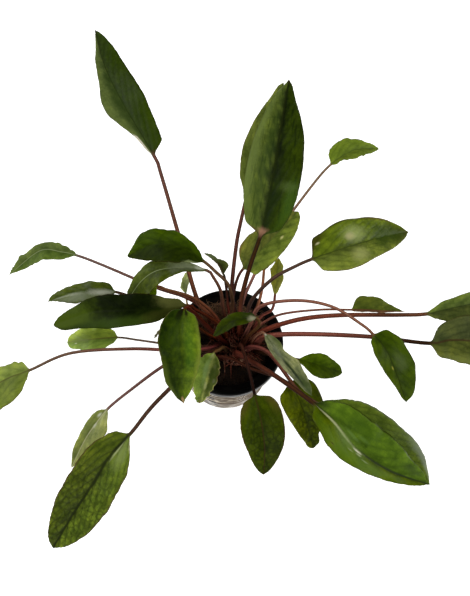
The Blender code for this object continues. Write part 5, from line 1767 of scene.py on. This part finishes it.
@dataclass(frozen=True)
class RockWool:
    """The plug of medium: an uneven top with a seat for the crown, loose fibres and crumbs of peat."""

    top: float = 46.5
    shoulder: float = 2.3
    foot: float = 2.9
    foot_radius: float = 15.3
    top_radius: float = 20.3
    edge_drop: float = 1.0
    steps: int = 110
    rings: int = 64
    fibres: Scatter = Scatter(Litter.FIBRE, 3.6, 3.2, 0.055, 0.5, 1.6, 28.0, 0.05)
    crumbs: Scatter = Scatter(Litter.CRUMB, 0.45, 0.0, 0.5, 0.4, 1.7, 90.0)

    LITTER_DEPTH = 3.2  # how far below the top litter still lies, and how far from the edge and the crown
    LITTER_MARGIN = 0.9
    CROWN_MARGIN = 0.6

    def height(self, x: float, y: float) -> float:
        """Give the height of the top at a point."""
        broad = 0.5 * math.sin(0.55 * x + 1.3) * math.cos(0.48 * y - 0.6)
        fine = 0.3 * math.sin(1.1 * x + 0.9 * y)
        lumpy = 0.55 * noise.noise(Vector((0.55 * x, 0.55 * y, 3.0)))
        lumpy += 0.3 * noise.noise(Vector((1.6 * x, 1.6 * y, 9.0)))
        flat = self.top + self.shoulder * (y - x) / 26.0 + broad + fine + lumpy
        away = math.hypot(x - CROWN_CENTRE[0], y - CROWN_CENTRE[1])
        return flat + (CROWN_TOP - 8.0 - flat) * (1.0 - smoothstep(CROWN_RADIUS, CROWN_RADIUS + 1.3, away))

    def build(self) -> None:
        """Shape the plug, strew the fibres and crumbs on it, and dress them."""
        angles = np.linspace(0.0, math.tau, self.steps, endpoint=False)
        rings = []
        for share in np.linspace(0.0, 1.0, 9)[:-1]:
            radius = self.foot_radius + (self.top_radius - self.foot_radius) * share
            z = self.foot + (self.top - 3.0 - self.foot) * share
            bumps = [0.25 * noise.noise(Vector((3 * math.cos(a), 3 * math.sin(a), 0.5 * z))) for a in angles]
            rings.append(np.array([
                ((radius + b - 0.2) * math.cos(a), (radius + b - 0.2) * math.sin(a), z)
                for a, b in zip(angles, bumps)]))
        for k in range(self.rings):
            share = 1.0 - k / self.rings
            drop = self.edge_drop * max(0.0, 1.0 - (1.0 - share) * self.top_radius / 1.4) ** 2
            radius = self.top_radius * share
            flat = [(radius * math.cos(a), radius * math.sin(a)) for a in angles]
            rings.append(np.array([(x, y, self.height(x, y) - drop) for x, y in flat]))
        plug = new_object("wool_plug", loft("wool_plug", rings, {}), MineralWool().material("spun_rock_wool"))
        finish_piece(plug, Slot.WOOL, "rock_wool")
        ground = part_of(plug.data, "open_top", self.is_open)
        fibres = self.fibres.strew("wool_fibres", ground, MineralWool().material("loose_wool_fibres", 0.35))
        finish_piece(fibres, Slot.WOOL)
        # the crumbs get a fainter painted shade over the front
        peat = MineralWool(brown="#3a2d16", tuft="#7a6a40", darkened="#9a9080").material("peat_crumbs", 0.2)
        finish_piece(self.crumbs.strew("peat_crumbs", ground, peat), Slot.WOOL)

    def is_open(self, place: Vector) -> bool:
        """Tell whether a place on the plug is on its top and clear of the crown, where litter lies."""
        x, y, z = place
        away = math.hypot(x - CROWN_CENTRE[0], y - CROWN_CENTRE[1])
        inside = math.hypot(x, y) <= self.top_radius - self.LITTER_MARGIN
        return z >= self.top - self.LITTER_DEPTH and away >= CROWN_RADIUS + self.CROWN_MARGIN and inside


@dataclass(frozen=True)
class Crown:
    """The short stock that every stalk grows from, with the dry bracts of old leaves round it."""

    depth: float = 7.0
    steps: int = 72
    knobs: int = 5
    knob_size: float = 0.03
    bracts: Scatter = Scatter(Litter.BRACT, 0.5, 6.0, 1.3, 0.5, 1.2, 24.0, 1.0)
    stubs: Scatter = Scatter(Litter.BRACT, 0.3, 12.5, 0.75, 0.5, 1.15, 42.0, 1.0)

    DOME_DEPTH = 1.6  # how far below its top bracts and stubs grow

    def build(self) -> None:
        """Shape the stock, set the bracts on it and dress both."""
        outline = [(0.55, -self.depth), (0.8, -self.depth + 0.8), (0.92, -self.depth + 2.0), (0.98, -3.6),
                   (1.0, -2.2), (0.97, -1.4), (0.88, -0.6), (0.7, -0.25), (0.5, 0.0), (0.25, 0.15)]
        rings = []
        for share, height in outline:
            ring = []
            for i in range(self.steps):
                angle = math.tau * i / self.steps
                rough = noise.noise(Vector((4 * math.cos(angle), 4 * math.sin(angle), 0.6 * height)))
                reach = CROWN_RADIUS * share * (1.0 + self.knob_size * (math.cos(self.knobs * angle) + rough))
                ring.append((
                    CROWN_CENTRE[0] + reach * math.cos(angle), CROWN_CENTRE[1] + reach * math.sin(angle),
                    CROWN_TOP + height))
            rings.append(np.array(ring))
        bark = StockSkin().material("corky_stock", 0.3)
        stock = new_object("crown_stock", loft("crown_stock", rings, {}), bark)
        finish_piece(stock, Slot.STOCK, "crown")
        dome = part_of(stock.data, "crown_dome", lambda place: place.z >= CROWN_TOP - self.DOME_DEPTH)
        bracts = self.bracts.strew("crown_bracts", dome, StockSkin().material("papery_bracts", 0.55))
        finish_piece(bracts, Slot.STOCK)
        stubs = self.stubs.strew("stalk_stubs", dome, StockSkin().material("dead_stalks", 0.1))
        finish_piece(stubs, Slot.STOCK)


@dataclass(frozen=True)
class Softbox:
    """One rectangular studio lamp."""

    place: tuple[float, float, float]  # metres
    width: float
    height: float
    power: float  # watts


@dataclass(frozen=True)
class Studio:
    """White sweep, soft lamps and the camera at the photograph's steep angle from the front."""

    eye: Point = (0.9, -183.0, 688.4)  # mm
    elevation: float = 72.2
    roll: float = 6.0
    lens: float = 85.0
    sensor: float = 36.0
    floor_size: float = 3.0
    floor_level: float = -0.05  # mm, just below the cup's foot
    paper: str = "#f4f4f3"
    paper_grain: float = 10 / 3  # mm
    overlight: float = 0.8  # the paper's own glow, as it is lit past white
    sky: float = 0.05
    aim: Point = (0.0, 0.0, 0.06)  # metres, where the lamps point
    lamps: tuple[Softbox, ...] = (
        Softbox((-1.15, 0.35, 0.95), 0.9, 0.8, 15.0),
        Softbox((1.15, 0.1, 0.95), 0.9, 0.8, 11.0),
        Softbox((0.0, -1.2, 0.9), 0.9, 0.7, 8.0),
    )

    def build(self) -> None:
        """Set up the floor, the light and the camera."""
        self.build_floor()
        world = bpy.data.worlds.new("studio_air")
        bpy.context.scene.world = world
        world.use_nodes = True
        air = world.node_tree.nodes["Background"].inputs
        air["Color"].default_value = WHITE
        air["Strength"].default_value = self.sky
        for number, lamp in enumerate(self.lamps, 1):
            light = bpy.data.lights.new(f"softbox_{number}", "AREA")
            light.shape = "RECTANGLE"
            light.size, light.size_y = lamp.width, lamp.height
            light.energy = lamp.power
            obj = bpy.data.objects.new(light.name, light)
            turn = (Vector(self.aim) - Vector(lamp.place)).to_track_quat("-Z", "Y")
            obj.matrix_world = Matrix.Translation(lamp.place) @ turn.to_matrix().to_4x4()
            bpy.context.scene.collection.objects.link(obj)
        self.place_camera()

    def build_floor(self) -> None:
        """Lay the floor: matt white paper, over-lit as a photographer's sweep is."""
        made, add = new_material("matt_white_paper")
        place = add(PLACES, out="Object")
        grain = add(NOISE, {"Vector": place, "Scale": fineness(self.paper_grain), "Detail": 2.0}, "Fac")
        rough = add(RANGE, {"Value": grain, "To Min": 0.85, "To Max": 0.95})
        shader = add(SURFACE, {
            "Base Color": linear(self.paper), "Roughness": rough, "Specular IOR Level": 0.1,
            "Emission Color": WHITE, "Emission Strength": self.overlight}, "BSDF")
        add(END, {"Surface": shader})
        half = self.floor_size / 2
        mesh = bpy.data.meshes.new("sweep")
        level = self.floor_level * MM
        corners = [(-half, -half, level), (half, -half, level), (half, half, level), (-half, half, level)]
        mesh.from_pydata(corners, [], [(0, 1, 2, 3)])
        new_object("sweep", mesh, made)

    def place_camera(self) -> None:
        """Point the camera down at the plant, leaning to the left by the photograph's roll."""
        pitch = math.radians(self.elevation)
        lean = math.radians(self.roll)
        forward = Vector((0.0, math.cos(pitch), -math.sin(pitch)))
        right = Vector((1.0, 0.0, 0.0))
        up = Vector((0.0, math.sin(pitch), math.cos(pitch)))
        side = right * math.cos(lean) + up * math.sin(lean)
        top = up * math.cos(lean) - right * math.sin(lean)
        lens = bpy.data.cameras.new("studio_camera")
        lens.lens = self.lens
        lens.sensor_width = self.sensor
        lens.clip_start = 0.01
        camera = bpy.data.objects.new("studio_camera", lens)
        turn = Matrix((side, top, -forward)).transposed().to_4x4()
        camera.matrix_world = Matrix.Translation(Vector(self.eye) * MM) @ turn
        bpy.context.scene.collection.objects.link(camera)
        bpy.context.scene.camera = camera


def main() -> None:
    """Build every piece, then the studio."""
    logging.basicConfig(level=logging.INFO, format="%(name)s: %(message)s")
    bpy.context.scene.view_settings.view_transform = "Standard"
    ClearCup().build()
    NetPot().build()
    RockWool().build()
    Crown().build()
    for number, leaf in enumerate(LEAVES):
        leaf.build(number)
    Studio().build()


if __name__ == "__main__":
    main()
